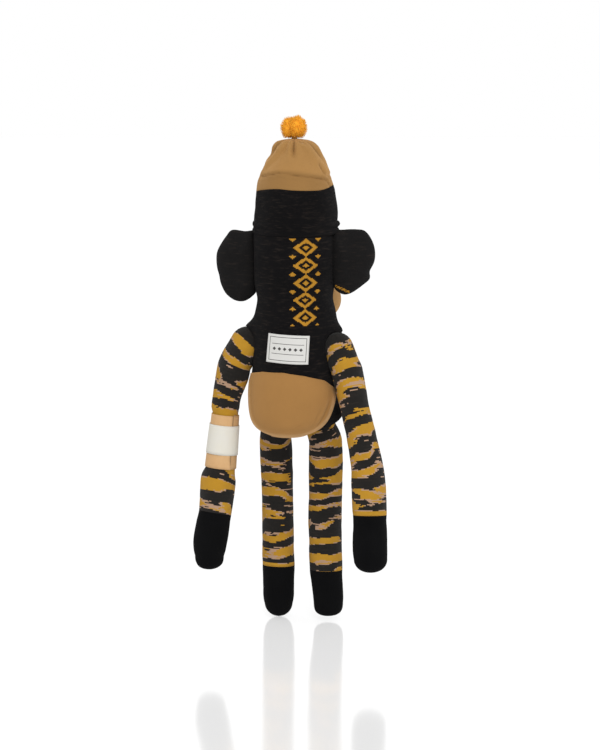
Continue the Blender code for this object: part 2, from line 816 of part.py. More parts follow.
def hat_rows():
    """(height, outer radius, set-back) of the hat: snug on the head, then loose up to its tip."""
    snug = [
        (height, wide + GAP + HAT_WALL, 0.0)
        for height, wide, back in HEAD_ROWS
        if BAND_LOW_HEIGHT < height and wide > HEAD_RADIUS * CROWN_SLACK_SHARES[0][1]
    ]
    first = at_key(HEAD_ROWS, BAND_LOW_HEIGHT)
    snug = [(BAND_LOW_HEIGHT, first[1] + GAP + HAT_WALL, 0.0)] + snug
    start = snug[-1][0]
    loose = [
        (start + share * (CROWN_TOP_HEIGHT - start), HEAD_RADIUS * wide, 0.0)
        for share, wide in CROWN_SLACK_SHARES
    ]
    return snug + loose


def build_hat(head):
    rows = hat_rows()
    band = column("hat_band", rows, low=BAND_LOW_HEIGHT, high=CROWN_LOW_HEIGHT - GAP,
                  open_start=True, open_end=True)
    finish(shell(band, HAT_WALL), head, BLACK_KNIT)
    crown = column("hat_crown", rows, low=CROWN_LOW_HEIGHT, open_start=True)
    finish(shell(crown, HAT_WALL), head, TAN_KNIT)

    inner = at_key(rows, BAND_LOW_HEIGHT)[1] + GAP
    outer = inner + BRIM_THICK
    soft = BRIM_THICK / 2
    low = BRIM_LOW_HEIGHT
    high = BRIM_LOW_HEIGHT + BRIM_TALL
    profile = [(inner + soft, high), (outer, high - soft), (outer, low + soft),
               (inner + soft, low), (inner, low + soft), (inner, high - soft)]
    brim = turned("hat_brim", profile, TURN_STEPS)
    finish(brim, head, BLACK_KNIT)

    tie_height = CROWN_TOP_HEIGHT + GAP + TIE_THREAD_RADIUS
    ring = []
    for k in range(TIE_PROFILE_POINTS):
        turn = math.pi / 2 - 2 * math.pi * k / TIE_PROFILE_POINTS
        ring.append((TIE_RING_RADIUS + TIE_THREAD_RADIUS * math.cos(turn),
                     tie_height + TIE_THREAD_RADIUS * math.sin(turn)))
    tie = turned("pompom_tie", ring, SMALL_TURN_STEPS)
    finish(tie, head, THREAD_BROWN)
    return tie_height + TIE_THREAD_RADIUS


def build_pompom(head, base_height):
    pivot_place = Vector((0.0, 0.0, base_height))
    pompom = body_pivot("pompom", pivot_place, head)
    centre = (0.0, 0.0, base_height + GAP + POMPOM_HALF_HEIGHT)
    half = (POMPOM_HALF_WIDTH, POMPOM_HALF_WIDTH, POMPOM_HALF_HEIGHT)
    ball = ellipsoid("pompom", centre, half, POMPOM_SEGMENTS, POMPOM_RINGS)
    finish(ball, pompom, GOLD_WOOL)


def ear_cage(name, side, root_x, inset):
    """A puffed pad: a rim in the ear's plane and a smaller raised outline on each face."""
    width = EAR_WIDTH - 2 * inset
    tall = EAR_HEIGHT - 2 * inset
    thick = EAR_HALF_THICK - inset
    work = bmesh.new()
    middle = Vector((root_x + side * EAR_WIDTH / 2, 0.0, EAR_LOW_HEIGHT + EAR_HEIGHT / 2))
    rings = []
    for scale, lift in ((1.0, 0.0), (EAR_CROWN_SHARE, thick), (EAR_CROWN_SHARE, -thick)):
        ring = []
        for across, up in EAR_OUTLINE_SHARES:
            spot = Vector((side * (across - 0.5) * width, 0.0, (up - 0.5) * tall)) * scale
            ring.append(work.verts.new(middle + spot + Vector((0.0, lift, 0.0))))
        rings.append(ring)
    rim, front, back = rings
    count = len(rim)
    for k in range(count):
        after = (k + 1) % count
        work.faces.new((rim[k], rim[after], front[after], front[k]))
        work.faces.new((rim[after], rim[k], back[k], back[after]))
    work.faces.new(front)
    work.faces.new(list(reversed(back)))
    bmesh.ops.recalc_face_normals(work, faces=work.faces)
    obj = object_from_bmesh(name, work)
    soft = obj.modifiers.new("soft", "SUBSURF")
    soft.levels = EAR_LEVELS
    soft.render_levels = EAR_LEVELS
    return obj


def build_ear(word, side, head):
    surface = at_key(HEAD_ROWS, EAR_LOW_HEIGHT + EAR_HEIGHT / 2)[1]
    root_x = side * (surface + GAP - EAR_ROOT_SHRINK)
    pivot_place = Vector((side * (surface + GAP), 0.0, EAR_LOW_HEIGHT + EAR_HEIGHT / 2))
    ear = body_pivot(word + "_ear", pivot_place, head)
    skin = ear_cage(word + "_ear", side, root_x, 0.0)
    shell(skin, KNIT_WALL)
    middle = EAR_LOW_HEIGHT + EAR_HEIGHT / 2
    across = sorted((pivot_place.x - side * EAR_SLOT_DEEP, pivot_place.x + side * EAR_SLOT_DEEP))
    slot = make_cutter(block(
        word + "_ear_slot",
        (across[0], -EAR_SLOT_WIDE / 2, middle - EAR_SLOT_TALL / 2),
        (across[1], EAR_SLOT_WIDE / 2, middle + EAR_SLOT_TALL / 2)))
    cut(skin, slot)
    finish(skin, ear, BLACK_KNIT)
    core = ear_cage(word + "_ear_stuffing", side, root_x, EAR_STUFFING_INSET)
    finish(core, ear, STUFFING_WHITE)


def build_paper_band(limb, forearm):
    """The kraft sleeve round the left forearm, and the white label round the sleeve."""
    band = body_pivot("paper_band", limb.place((BAND_TOP_SHARE + BAND_END_SHARE) / 2), forearm)
    ends = {"open_start": True, "open_end": True, "resolution": BODY_BEVEL_RESOLUTION}
    shares = even_shares(BAND_TOP_SHARE, BAND_END_SHARE, BAND_STATIONS)
    outside = BAND_CLEARANCE + BAND_THICK
    sleeve = limb.stretch("paper_band", shares, -outside, **ends)
    finish(shell(sleeve, BAND_THICK), band, KRAFT_PAPER, PAPER_ROUGHNESS)
    shares = even_shares(BAND_LABEL_TOP_SHARE, BAND_LABEL_END_SHARE, BAND_STATIONS)
    outside += BAND_LABEL_CLEARANCE + BAND_LABEL_THICK
    label = limb.stretch("paper_band_label", shares, -outside, **ends)
    finish(shell(label, BAND_LABEL_THICK), band, LABEL_WHITE, PAPER_ROUGHNESS)


def settle_on_origin():
    """Moves the doll so that the bottom centre of its box is at the origin."""
    bpy.context.view_layer.update()
    graph = bpy.context.evaluated_depsgraph_get()
    corners = []
    for obj in PARTS.objects:
        if obj.type == "MESH":
            seen = obj.evaluated_get(graph)
            corners += [seen.matrix_world @ Vector(corner) for corner in seen.bound_box]
    low = [min(corner[i] for corner in corners) for i in range(3)]
    high = [max(corner[i] for corner in corners) for i in range(3)]
    DOLL.location -= Vector(((low[0] + high[0]) / 2, (low[1] + high[1]) / 2, low[2]))
    bpy.context.view_layer.update()


def build():
    torso = body_pivot("torso", Vector((0.0, 0.0, NECK_HEIGHT)), DOLL)
    left_arm = left_arm_limb()
    right_arm = right_arm_limb()
    left_leg = leg_limb(1.0, LEFT_SOLE_HEIGHT, LEFT_LEG_RADIUS_SHARES)
    right_leg = leg_limb(-1.0, RIGHT_SOLE_HEIGHT, RIGHT_LEG_RADIUS_SHARES)
    build_torso(torso, (left_arm, right_arm, left_leg, right_leg))
    build_label(torso)
    build_neck(torso)

    neck_back = at_key(HEAD_ROWS, NECK_HEIGHT)[2]
    head = body_pivot("head", Vector((0.0, neck_back, NECK_HEIGHT)), torso)
    build_head(head)
    build_muzzle(head)
    build_eyes(head)
    base_height = build_hat(head)
    build_pompom(head, base_height)
    build_ear("left", 1.0, head)
    build_ear("right", -1.0, head)

    flat = arm_flat()
    left_forearm = build_limb(limb_names("left", "arm"), left_arm, torso, flat)
    build_limb(limb_names("right", "arm"), right_arm, torso, flat)
    build_limb(limb_names("left", "leg"), left_leg, torso)
    build_limb(limb_names("right", "leg"), right_leg, torso)
    build_paper_band(left_arm, left_forearm)
    settle_on_origin()


build()
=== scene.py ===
"""Looks of the sock monkey doll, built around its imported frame.

Metres, +Z up. The doll faces -Y, so its back, which the photograph shows, faces +Y.
Its left side is +X. A place round the body is a turn in degrees from +Y towards +X.
The UV map "stitches" counts a knitted piece's wales across and its courses along.
"""
import json
import math
import random
from functools import cache

import bmesh
import bpy
from mathutils import Matrix, Vector, noise
from mathutils.bvhtree import BVHTree


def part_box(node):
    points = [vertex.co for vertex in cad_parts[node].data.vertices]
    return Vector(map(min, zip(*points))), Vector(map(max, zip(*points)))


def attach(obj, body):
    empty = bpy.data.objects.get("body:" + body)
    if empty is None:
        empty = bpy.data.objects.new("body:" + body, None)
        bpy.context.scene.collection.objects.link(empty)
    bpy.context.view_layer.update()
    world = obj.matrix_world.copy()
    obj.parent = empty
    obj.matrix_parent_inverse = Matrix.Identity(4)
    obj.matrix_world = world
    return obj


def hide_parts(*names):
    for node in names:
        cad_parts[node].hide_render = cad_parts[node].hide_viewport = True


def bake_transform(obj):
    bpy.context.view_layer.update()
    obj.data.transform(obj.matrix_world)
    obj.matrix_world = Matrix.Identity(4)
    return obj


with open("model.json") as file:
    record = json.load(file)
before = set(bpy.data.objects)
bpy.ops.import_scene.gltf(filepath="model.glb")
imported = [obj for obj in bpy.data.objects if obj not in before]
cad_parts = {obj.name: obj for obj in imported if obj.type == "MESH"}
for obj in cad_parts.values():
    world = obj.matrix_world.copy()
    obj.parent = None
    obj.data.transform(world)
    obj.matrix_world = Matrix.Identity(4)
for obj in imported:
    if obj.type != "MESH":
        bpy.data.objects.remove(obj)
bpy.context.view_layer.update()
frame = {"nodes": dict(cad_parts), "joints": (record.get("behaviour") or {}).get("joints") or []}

MM = 0.001
UP = Vector((0.0, 0.0, 1.0))
LEFTWARDS = Vector((1.0, 0.0, 0.0))
JOINTS = {joint["name"]: joint for joint in frame["joints"]}
box_of = cache(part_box)

# Doll's upright axis, through the middle of its head
HEAD_LOW, HEAD_HIGH = box_of("head_skin")
AXIS = Vector(((HEAD_LOW.x + HEAD_HIGH.x) / 2, (HEAD_LOW.y + HEAD_HIGH.y) / 2, 0.0))

# Camera behind the doll, a little to its right side
CAMERA_DISTANCE = 1.4660
CAMERA_SIDE = 0.0052
CAMERA_HEIGHT = 0.5153
CAMERA_TURN_DEG = 191.0
CAMERA_DROP_DEG = 10.06
LENS = 74.4
SENSOR = 36.0
VIEW_TURN_DEG = 180.0 - CAMERA_TURN_DEG

# Light and floor
WORLD_LEVEL = 0.82
KEY_POWER = 54.0
KEY_SIZE = 1.5
KEY_PLACE = Vector((-1.2, 2.7, 2.4))
KEY_AIM = Vector((0.0, 0.0, 0.27))
FLOOR_HALF = 20.0
FLOOR_GLOSS = 0.29
FLOOR_BLUR = 0.12
FLOOR_SHADE = 0.24
FLOOR_LIGHT = 0.78
FLOOR_WHITE = 1.02
FLOOR_PALE = 0.85

# Knit
WALE = 1.25 * MM
COURSE = 1.00 * MM
FINE_WALE = 0.85 * MM
FINE_COURSE = 0.70 * MM
RING_STEP = 2.4 * MM
PUCKER = 0.35 * MM


def srgb(*levels):
    """A colour in sRGB from 0 to 255, as the linear colour that a shader takes."""
    shares = [level / 255 for level in levels]
    return (*[s / 12.92 if s <= 0.04045 else ((s + 0.055) / 1.055) ** 2.4 for s in shares], 1.0)


# Colours as photographed
WHITE = srgb(255, 255, 255)
BLACK_YARN = srgb(20, 19, 20)
EAR_YARN = srgb(30, 29, 29)
EYE_YARN = srgb(52, 50, 48)
BROWN_YARN = srgb(58, 50, 45)
PATTERN_BLACK = srgb(37, 35, 33)
PATTERN_OCHRE = srgb(192, 143, 46)
PATTERN_PINK = srgb(184, 150, 124)
TOE_BLACK = srgb(17, 17, 18)
HAT_TAN = srgb(169, 127, 75)
SEAT_TAN = srgb(165, 121, 69)
# Paler tan of the seat's painted rim light, and the tan knit's sheen tint
RIM_LIGHT_TAN = srgb(205, 164, 116)
MUZZLE_TAN = srgb(196, 152, 98)
MOTIF_OCHRE = srgb(186, 134, 47)
LABEL_WHITE = srgb(213, 212, 208)
LABEL_SHADE = srgb(205, 204, 200)
LABEL_LINE = srgb(70, 68, 66)
KRAFT = srgb(206, 166, 119)
KRAFT_SHADE = srgb(190, 146, 98)
PAPER_WHITE = srgb(216, 212, 200)
POMPOM_GOLD = srgb(244, 178, 58)
# Painted shade of the strands' roots, deep in the pompom
POMPOM_ROOT_SHADE = srgb(234, 158, 40)
THREAD_BROWN = srgb(74, 50, 28)
FELT_CREAM = srgb(226, 216, 190)
FELT_SHADE = srgb(196, 184, 156)
BUTTON_BLACK = srgb(20, 20, 21)
BUTTON_GREY = srgb(44, 42, 40)


def smooth_step(low, high, value):
    t = min(max((value - low) / (high - low), 0.0), 1.0)
    return t * t * (3 - 2 * t)


def bell(distance, width):
    return math.exp(-((distance / width) ** 2))


def smooth_rows(rows, steps, closed=False):
    """Rows on a smooth curve through the given rows, with steps rows to each interval."""
    count = len(rows)
    out = []
    for i in range(count if closed else count - 1):
        near = range(i - 1, i + 3)
        four = [rows[n % count if closed else min(max(n, 0), count - 1)] for n in near]
        for k in range(steps):
            t = k / steps
            out.append(tuple(
                0.5 * (2 * q + (r - p) * t + (2 * p - 5 * q + 4 * r - s) * t ** 2
                       + (3 * q - p - 3 * r + s) * t ** 3)
                for p, q, r, s in zip(*four)
            ))
    return out if closed else out + [tuple(rows[-1])]


def at_key(rows, key):
    """The row at a key between those of a table, whose first column rises."""
    if key <= rows[0][0]:
        return rows[0]
    for low, high in zip(rows, rows[1:]):
        if key <= high[0]:
            t = (key - low[0]) / max(high[0] - low[0], 1e-9)
            return tuple(p + (q - p) * t for p, q in zip(low, high))
    return rows[-1]


def steps_between(start, end, step):
    out = []
    while start < end:
        out.append(start)
        start += step
    return out


def run_lengths(points):
    """Distance along a line of points, up to each of them."""
    out = [0.0]
    for a, b in zip(points, points[1:]):
        out.append(out[-1] + (b - a).length)
    return out


def turn_vector(turn_deg):
    """The level direction at a turn from +Y towards +X."""
    turn = math.radians(turn_deg)
    return Vector((math.sin(turn), math.cos(turn), 0.0))


def turn_gap(turn, other=0.0):
    """Degrees from one turn to another, from -180 to 180."""
    return (turn - other + 180.0) % 360.0 - 180.0


def between(first, second, turn):
    """The direction at a turn in radians from one direction towards another."""
    return first * math.cos(turn) + second * math.sin(turn)


def square_to(along, first):
    """A direction, made square to another."""
    return (first - along * first.dot(along)).normalized()


def lumps(point, coarse, fine):
    """Uneven swelling of a filled skin, about -1 to 1."""
    return noise.noise(point * coarse) + 0.5 * noise.noise(point * fine)


# Shader nodes


class Value:
    """A shader socket with Python's arithmetic. | gives the greater of two, and & the lesser."""

    def __init__(self, graph, socket):
        self.graph = graph
        self.socket = socket

    def math(self, operation, *others):
        return self.graph.math(operation, self, *others)

    def __add__(self, other):
        return self.math("ADD", other)

    def __sub__(self, other):
        return self.math("SUBTRACT", other)

    def __rsub__(self, other):
        return self.graph.math("SUBTRACT", other, self)

    def __mul__(self, other):
        return self.math("MULTIPLY", other)

    def __truediv__(self, other):
        return self.math("DIVIDE", other)

    def __pow__(self, other):
        return self.math("POWER", other)

    def __gt__(self, other):
        return self.math("GREATER_THAN", other)

    def __lt__(self, other):
        return self.math("LESS_THAN", other)

    def __or__(self, other):
        return self.math("MAXIMUM", other)

    def __and__(self, other):
        return self.math("MINIMUM", other)

    def __abs__(self):
        return self.math("ABSOLUTE")

    def floor(self):
        return self.math("FLOOR")

    def fract(self):
        return self.math("FRACT")

    def sine(self):
        return self.math("SINE")


class Graph:
    """A node tree, with short calls that add and link its nodes."""

    def __init__(self, tree):
        self.tree = tree

    def feed(self, socket, value):
        if isinstance(value, Value):
            self.tree.links.new(value.socket, socket)
        else:
            socket.default_value = value

    def node(self, kind, inputs=None, **settings):
        """A new node, with its inputs fed by name or number."""
        node = self.tree.nodes.new(kind)
        for name, value in settings.items():
            setattr(node, name, value)
        for key, value in (inputs or {}).items():
            self.feed(node.inputs[key], value)
        return node

    def add(self, kind, inputs=None, out=0, **settings):
        """One output of a new node."""
        return Value(self, self.node(kind, inputs, **settings).outputs[out])

    def named(self, kind, inputs=None, **settings):
        """All outputs of a new node, by name."""
        node = self.node(kind, inputs, **settings)
        return {socket.name: Value(self, socket) for socket in node.outputs}

    def math(self, operation, *values):
        return self.add("ShaderNodeMath", dict(enumerate(values)), operation=operation)

    def vector(self, operation, *values):
        return self.add("ShaderNodeVectorMath", dict(enumerate(values)), operation=operation)

    def scale(self, colour, tone):
        """A colour made darker or paler by a tone."""
        plain = colour if isinstance(colour, Value) else colour[:3]
        return self.add("ShaderNodeVectorMath", {"Vector": plain, "Scale": tone}, operation="SCALE")

    def combine(self, *values):
        return self.add("ShaderNodeCombineXYZ", dict(enumerate(values)))

    def separate(self, vector):
        return self.named("ShaderNodeSeparateXYZ", {0: vector}).values()

    def stitches(self):
        """Wales across and courses along, as the UV map counts them, and a nought."""
        return self.separate(self.add("ShaderNodeUVMap", uv_map="stitches"))

    def spot(self):
        return self.add("ShaderNodeTexCoord", out="Object")

    def stored(self, name):
        return self.add("ShaderNodeAttribute", out="Fac", attribute_name=name)

    def mix(self, factor, first, second):
        return self.add("ShaderNodeMix", {"Factor": factor, 6: first, 7: second}, 2, data_type="RGBA")

    def ramp(self, value, low, high, to_low=0.0, to_high=1.0):
        """The value moved from one range to another, held at its ends."""
        ends = dict(enumerate((value, low, high, to_low, to_high)))
        return self.add("ShaderNodeMapRange", ends, interpolation_type="SMOOTHSTEP")

    def noise(self, vector, scale, detail, roughness):
        inputs = {"Vector": vector, "Scale": scale, "Detail": detail, "Roughness": roughness}
        return self.add("ShaderNodeTexNoise", inputs, "Fac")

    def stretch(self, vector, *sizes):
        return self.vector("MULTIPLY", vector, sizes)

    def group(self, tree, **values):
        inputs = {name.replace("_", " "): value for name, value in values.items()}
        return self.named("ShaderNodeGroup", inputs, node_tree=tree)

    def give(self, **outputs):
        """Feeds the outputs of a group, and gives its tree."""
        self.node("NodeGroupOutput", outputs)
        return self.tree


def new_group(name, inputs, outputs):
    """The graph and the inputs of a new node group, whose sockets named Place are vectors."""
    g = Graph(bpy.data.node_groups.new(name, "ShaderNodeTree"))
    for way, labels in (("INPUT", inputs), ("OUTPUT", outputs)):
        for label in labels:
            kind = "NodeSocketVector" if label == "Place" else "NodeSocketFloat"
            socket = g.tree.interface.new_socket(label, in_out=way, socket_type=kind)
            if way == "INPUT" and label != "Place":
                socket.default_value = inputs[label]
    return g, g.named("NodeGroupInput")


def knit_group():
    """Plain knit: V stitches in wales and courses, painted shade between them, and each stitch's place on a
    round piece.
    """
    g, given = new_group("knit", {"Wales": 78.0}, ("Place", "Height", "Gap"))
    across, along, _ = g.stitches()
    lean = abs(across.fract() - 0.5)
    turn = (across.floor() + 0.5) / given["Wales"] * math.tau
    radius = given["Wales"] / math.tau
    place = g.combine(turn.math("COSINE") * radius, turn.sine() * radius, along.floor() + 0.5)
    # Each wale is a column of V stitches, whose two legs slant up and out.
    leg = 1.0 - (abs(lean - 0.25) * 4.0) ** 2.0
    loop = ((along - lean).fract() * math.pi).sine()
    height = leg * (loop * 0.6 + 0.4)
    # Painted shade: the colour is made darker between the stitches, where the relief is low.
    return g.give(Place=place, Height=height, Gap=1.0 - height)


def streak_group():
    """Paler courses that show here and there between the courses of a dark yarn."""
    g, given = new_group("course_streaks", {"Place": None, "Least": 0.55}, ("Mask",))
    field = g.noise(g.stretch(given["Place"], 0.10, 0.10, 0.85), 1.0, 2.0, 0.6)
    return g.give(Mask=g.ramp(field, given["Least"], 0.78))


def tiger_group():
    """Tiger stripes knitted in: black bands with pale slivers along their borders."""
    inputs = {"Place": None, "Slant": 0.0, "Draw": 0.0, "Pitch": 19.0, "Root": 0.0, "Cuff": 200.0}
    g, given = new_group("tiger_stripes", inputs, ("Black", "Pale"))
    x, y, course = g.separate(given["Place"])
    tilted = x * given["Slant"] + course
    drawn = tilted + given["Draw"]
    place = g.combine(x, y, drawn)

    def field(around, along, detail=1.0, shift=(0.0, 0.0, 0.0)):
        return g.noise(g.vector("ADD", g.stretch(place, around, around, along), shift), 1.0, detail, 0.5)

    wander = (field(0.027, 0.024) - 0.5) * 1.9
    bands = ((wander + drawn / given["Pitch"]) * math.tau).sine()
    tone = bands + (field(0.034, 0.085) - 0.475) * 4.6
    tone = tone + (field(0.040, 0.32) - 0.5) * 2.4 + (field(0.26, 0.9, 0.0) - 0.5) * 0.9
    above = given["Root"] - (tilted - bands * 2.0)
    tone = tone + g.ramp(above, -1.5, 1.5, 0.0, 6.0)
    tone = tone - g.ramp(course - given["Cuff"], -3.0, 0.0, 0.0, 5.0)
    border = (tone + 0.40 > 0.0) * (field(0.06, 0.12) > 0.46)
    inside = (field(0.045, 0.30, 1.0, (7.0, 3.0, 1.0)) > 0.69) * (abs(tone) < 1.8)
    return g.give(Black=(tone > 0.0) * (1.0 - inside), Pale=border | inside)


def lozenge_group():
    """A column of lozenge outlines and small diamonds, stepped stitch by stitch."""
    inputs = {"Middle": 0.0, "Low": 0.0, "Count": 5.0, "Pitch": 17.0, "Half Width": 11.0}
    g, given = new_group("lozenge_column", inputs, ("Mask",))
    across, along, _ = g.stitches()
    share = (along.floor() - given["Low"]) / given["Pitch"]
    up = abs(share.fract() * 2.0 - 1.0)
    out = abs(across.floor() - given["Middle"]) / given["Half Width"]
    size = up + out
    outline = (size < 1.0) * (size > 0.60)
    beads = (1.0 - up) + abs(out - 1.0) < 0.26
    inside = (share > 0.0) * (share < given["Count"])
    return g.give(Mask=(outline | (size < 0.26) | beads) * inside)


def mottle_group():
    """Slow change of tone over a cloth, with a finer grain of lint in it."""
    g, given = new_group("mottle", {"Size": 40.0, "Grain": 900.0}, ("Slow", "Lint"))
    where = g.spot()
    return g.give(Slow=g.noise(where, given["Size"], 3.0, 0.55),
                  Lint=g.noise(where, given["Grain"], 2.0, 0.6))


KNIT = knit_group()
STREAKS = streak_group()
TIGER = tiger_group()
LOZENGES = lozenge_group()
MOTTLE = mottle_group()


class Finish(Graph):
    """A material and its shader."""

    def __init__(self, name, roughness, specular, sheen=0.0, tint=WHITE):
        self.made = bpy.data.materials.new(name)
        self.made.use_nodes = True
        super().__init__(self.made.node_tree)
        self.inputs = self.tree.nodes["Principled BSDF"].inputs
        for socket, value in (("Roughness", roughness), ("Specular IOR Level", specular),
                              ("Sheen Weight", sheen), ("Sheen Roughness", 0.5), ("Sheen Tint", tint)):
            self.inputs[socket].default_value = value

    def look(self, colour, height=None, strength=0.0, deep_mm=0.0):
        """The material, with its colour and the relief of its surface."""
        self.feed(self.inputs["Base Color"], colour)
        if height:
            relief = {"Strength": strength, "Distance": deep_mm * MM, "Height": height}
            self.feed(self.inputs["Normal"], self.add("ShaderNodeBump", relief, "Normal"))
        return self.made


# Roughness, gloss, sheen, sizes of mottle and lint, painted shade in the gaps between stitches, unevenness,
# relief and its depth in mm
KNIT_LOOKS = {
    "black": (0.95, 0.04, 0.02, 30.0, 1400.0, 0.30, 0.50, 0.55, 0.35),
    "striped": (0.93, 0.12, 0.05, 45.0, 1400.0, 0.22, 0.35, 0.55, 0.35),
    "toe": (0.96, 0.04, 0.01, 50.0, 1600.0, 0.35, 0.50, 0.45, 0.28),
    "tan": (0.90, 0.12, 0.75, 26.0, 1300.0, 0.20, 0.22, 0.40, 0.22),
}
# How much the painted crease shade darkens the tan knit
CREASE_SHADE = 0.42


def knit_material(name, kind, wales, yarn_colour, tint=WHITE):
    """A yarn colour with painted shade between the stitches, uneven over the cloth, with the stitches'
    relief.
    """
    roughness, gloss, sheen, size, grain, gap_shade, uneven, strength, deep_mm = KNIT_LOOKS[kind]
    g = Finish(name, roughness, gloss, sheen, tint)
    knit = g.group(KNIT, Wales=wales)
    mottle = g.group(MOTTLE, Size=size, Grain=grain)
    # The gaps between the stitches take painted shade.
    tone = knit["Gap"] * -gap_shade + 1.0 + (mottle["Slow"] - 0.5) * uneven
    tone = tone + (mottle["Lint"] - 0.5) * (uneven * 0.6)
    return g.look(g.scale(yarn_colour(g, knit["Place"]), tone), knit["Height"], strength, deep_mm)


def streaked(g, place, least, share, yarn):
    """A dark yarn with brown courses that show faintly here and there."""
    return g.mix(g.group(STREAKS, Place=place, Least=least)["Mask"] * share, yarn, BROWN_YARN)


def black_knit(name, wales, streak_least, motif=None, yarn=BLACK_YARN):
    """Black sock knit with faint brown courses, and ochre stitches where a mask is given."""
    def colour(g, place):
        plain = streaked(g, place, streak_least, 0.46, yarn)
        return g.mix(motif(g), plain, MOTIF_OCHRE) if motif else plain

    return knit_material(name, "black", wales, colour)


def striped_knit(name, wales, stripes):
    """Ochre sock knit with black tiger stripes and pale pink slivers."""
    def colour(g, place):
        tiger = g.group(TIGER, Place=place, **stripes)
        dark = streaked(g, place, 0.50, 0.45, PATTERN_BLACK)
        return g.mix(tiger["Black"], g.mix(tiger["Pale"], PATTERN_OCHRE, PATTERN_PINK), dark)

    return knit_material(name, "striped", wales, colour)


def toe_knit(name, wales):
    """Closer, plainer black knit of the toes."""
    return knit_material(name, "toe", wales, lambda g, place: TOE_BLACK)


def tan_knit(name, wales, base, painted_rim_light=False):
    """Fine tan heel knit, with painted shade in its creases, and a paler painted rim light along its edges
    if it has a rim.
    """
    def colour(g, place):
        # Painted highlight: a paler rim light along the seat's edges
        plain = g.mix(g.stored("painted_rim_light"), base, RIM_LIGHT_TAN) if painted_rim_light else base
        # Painted shade: the colour is darkened where the stored crease shade is high.
        return g.scale(plain, g.stored("painted_crease_shade") * -CREASE_SHADE + 1.0)

    return knit_material(name, "tan", wales, colour, RIM_LIGHT_TAN)


# Meshes


class Work:
    """A mesh in the making, whose faces keep their place in the knit."""

    def __init__(self):
        self.mesh = bmesh.new()
        self.layer = self.mesh.loops.layers.uv.new("stitches")

    def row(self, points):
        return [self.mesh.verts.new(point) for point in points]

    def face(self, corners, places):
        for loop, place in zip(self.mesh.faces.new(corners).loops, places):
            loop[self.layer].uv = place

    def grid(self, rows, place, closed=True):
        """Faces between rows of vertices. A corner's place comes from its row and its column."""
        count = len(rows[0])
        for i in range(len(rows) - 1):
            for j in range(count if closed else count - 1):
                spots = ((i, j), (i, j + 1), (i + 1, j + 1), (i + 1, j))
                self.face([rows[a][b % count] for a, b in spots], [place(a, b) for a, b in spots])

    def piece(self, name, made, outward=False):
        """The finished piece, with its faces turned outwards if it is closed."""
        if outward:
            bmesh.ops.recalc_face_normals(self.mesh, faces=self.mesh.faces)
        mesh = bpy.data.meshes.new(name)
        self.mesh.to_mesh(mesh)
        self.mesh.free()
        mesh.shade_smooth()
        mesh.materials.append(made)
        piece = bpy.data.objects.new(name, mesh)
        bpy.context.scene.collection.objects.link(piece)
        return piece


def ring_surface(name, rings, courses, wales, made, start=None, end=None, sways=None):
    """A knitted skin through rings of points, closed at a start and an end point if given."""
    work = Work()
    rows = [work.row(ring) for ring in rings]
    count = len(rings[0])

    def place(i, j):
        sway = sways[i] * math.sin(math.tau * j / count) if sways else 0.0
        return (j / count * wales, courses[i] - sway)

    work.grid(rows, place)
    for tip, ring, last, sign in ((start, rows[0], courses[0], -1), (end, rows[-1], courses[-1], 1)):
        if tip is not None:
            pole = work.row([tip])
            top = last + sign * (ring[0].co - tip).length / COURSE
            for j in range(count):
                pair = (j, j + 1)[::sign]
                work.face(pole + [ring[k % count] for k in pair],
                          [((j + 0.5) / count * wales, top)] + [(k / count * wales, last) for k in pair])
    return work.piece(name, made, start is not None and end is not None)


def sheet_grid(name, point, rows, columns, made):
    """An open sheet whose places come from a function of two shares, both from 0 to 1."""
    work = Work()
    grid = [work.row(point(i / rows, j / columns) for j in range(columns + 1)) for i in range(rows + 1)]
    work.grid(grid, lambda i, j: (j / columns, i / rows), closed=False)
    return work.piece(name, made)


def thicken(piece, thickness, offset):
    """Gives a sheet its thickness, applied to its mesh."""
    solid = piece.modifiers.new("thickness", "SOLIDIFY")
    solid.thickness = thickness
    solid.offset = offset
    graph = bpy.context.evaluated_depsgraph_get()
    mesh = bpy.data.meshes.new_from_object(piece.evaluated_get(graph), depsgraph=graph)
    old = piece.data
    piece.modifiers.clear()
    piece.data = mesh
    bpy.data.meshes.remove(old)
    mesh.name = piece.name


def store(piece, name, values):
    """Keeps one number for each vertex, which a material reads by name."""
    attribute = piece.data.attributes.new(name, "FLOAT", "POINT")
    attribute.data.foreach_set("value", values)


def dress(piece, body, slot, *nodes, fill=None):
    """Puts a piece on its body if it has just one, and hides the solids that it stands for. The slot is not
    used.
    """
    if body:
        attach(piece, body)
    if nodes:
        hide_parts(*nodes)


# Forms read from the frame

RAY_REACH = 0.3
RAY_NUDGES = (0.0, 0.4, -0.4, 0.9, -0.9)
SECTION_PASSES = 3


def skin_tree(*names):
    """One search tree of the faces of several CAD skins."""
    points = []
    faces = []
    for name in names:
        mesh = frame["nodes"][name].data
        start = len(points)
        points += [vertex.co.copy() for vertex in mesh.vertices]
        faces += [[start + i for i in polygon.vertices] for polygon in mesh.polygons]
    return BVHTree.FromPolygons(points, faces)


def level_section(tree, height, centre):
    """Height, centre and half widths of a skin at one level.

    Each side is the middle one of a few rays cast inwards, since one may slip through a seam.
    """
    middle = [centre.x, centre.y]
    half = [0.0, 0.0]
    for side in (0, 1) * SECTION_PASSES:
        ends = []
        for sign in (-1, 1):
            hits = []
            for nudge in RAY_NUDGES:
                origin = Vector((middle[0], middle[1], height + nudge * MM))
                origin[side] += sign * RAY_REACH
                aim = Vector((0.0, 0.0, 0.0))
                aim[side] = -sign
                hit = tree.ray_cast(origin, aim)[0]
                if hit is not None:
                    hits.append(sign * hit[side])
            hits.sort()
            ends.append(sign * hits[len(hits) // 2] if hits else middle[side])
        middle[side] = (ends[0] + ends[1]) / 2
        half[side] = (ends[1] - ends[0]) / 2
    return (height, *middle, *half)


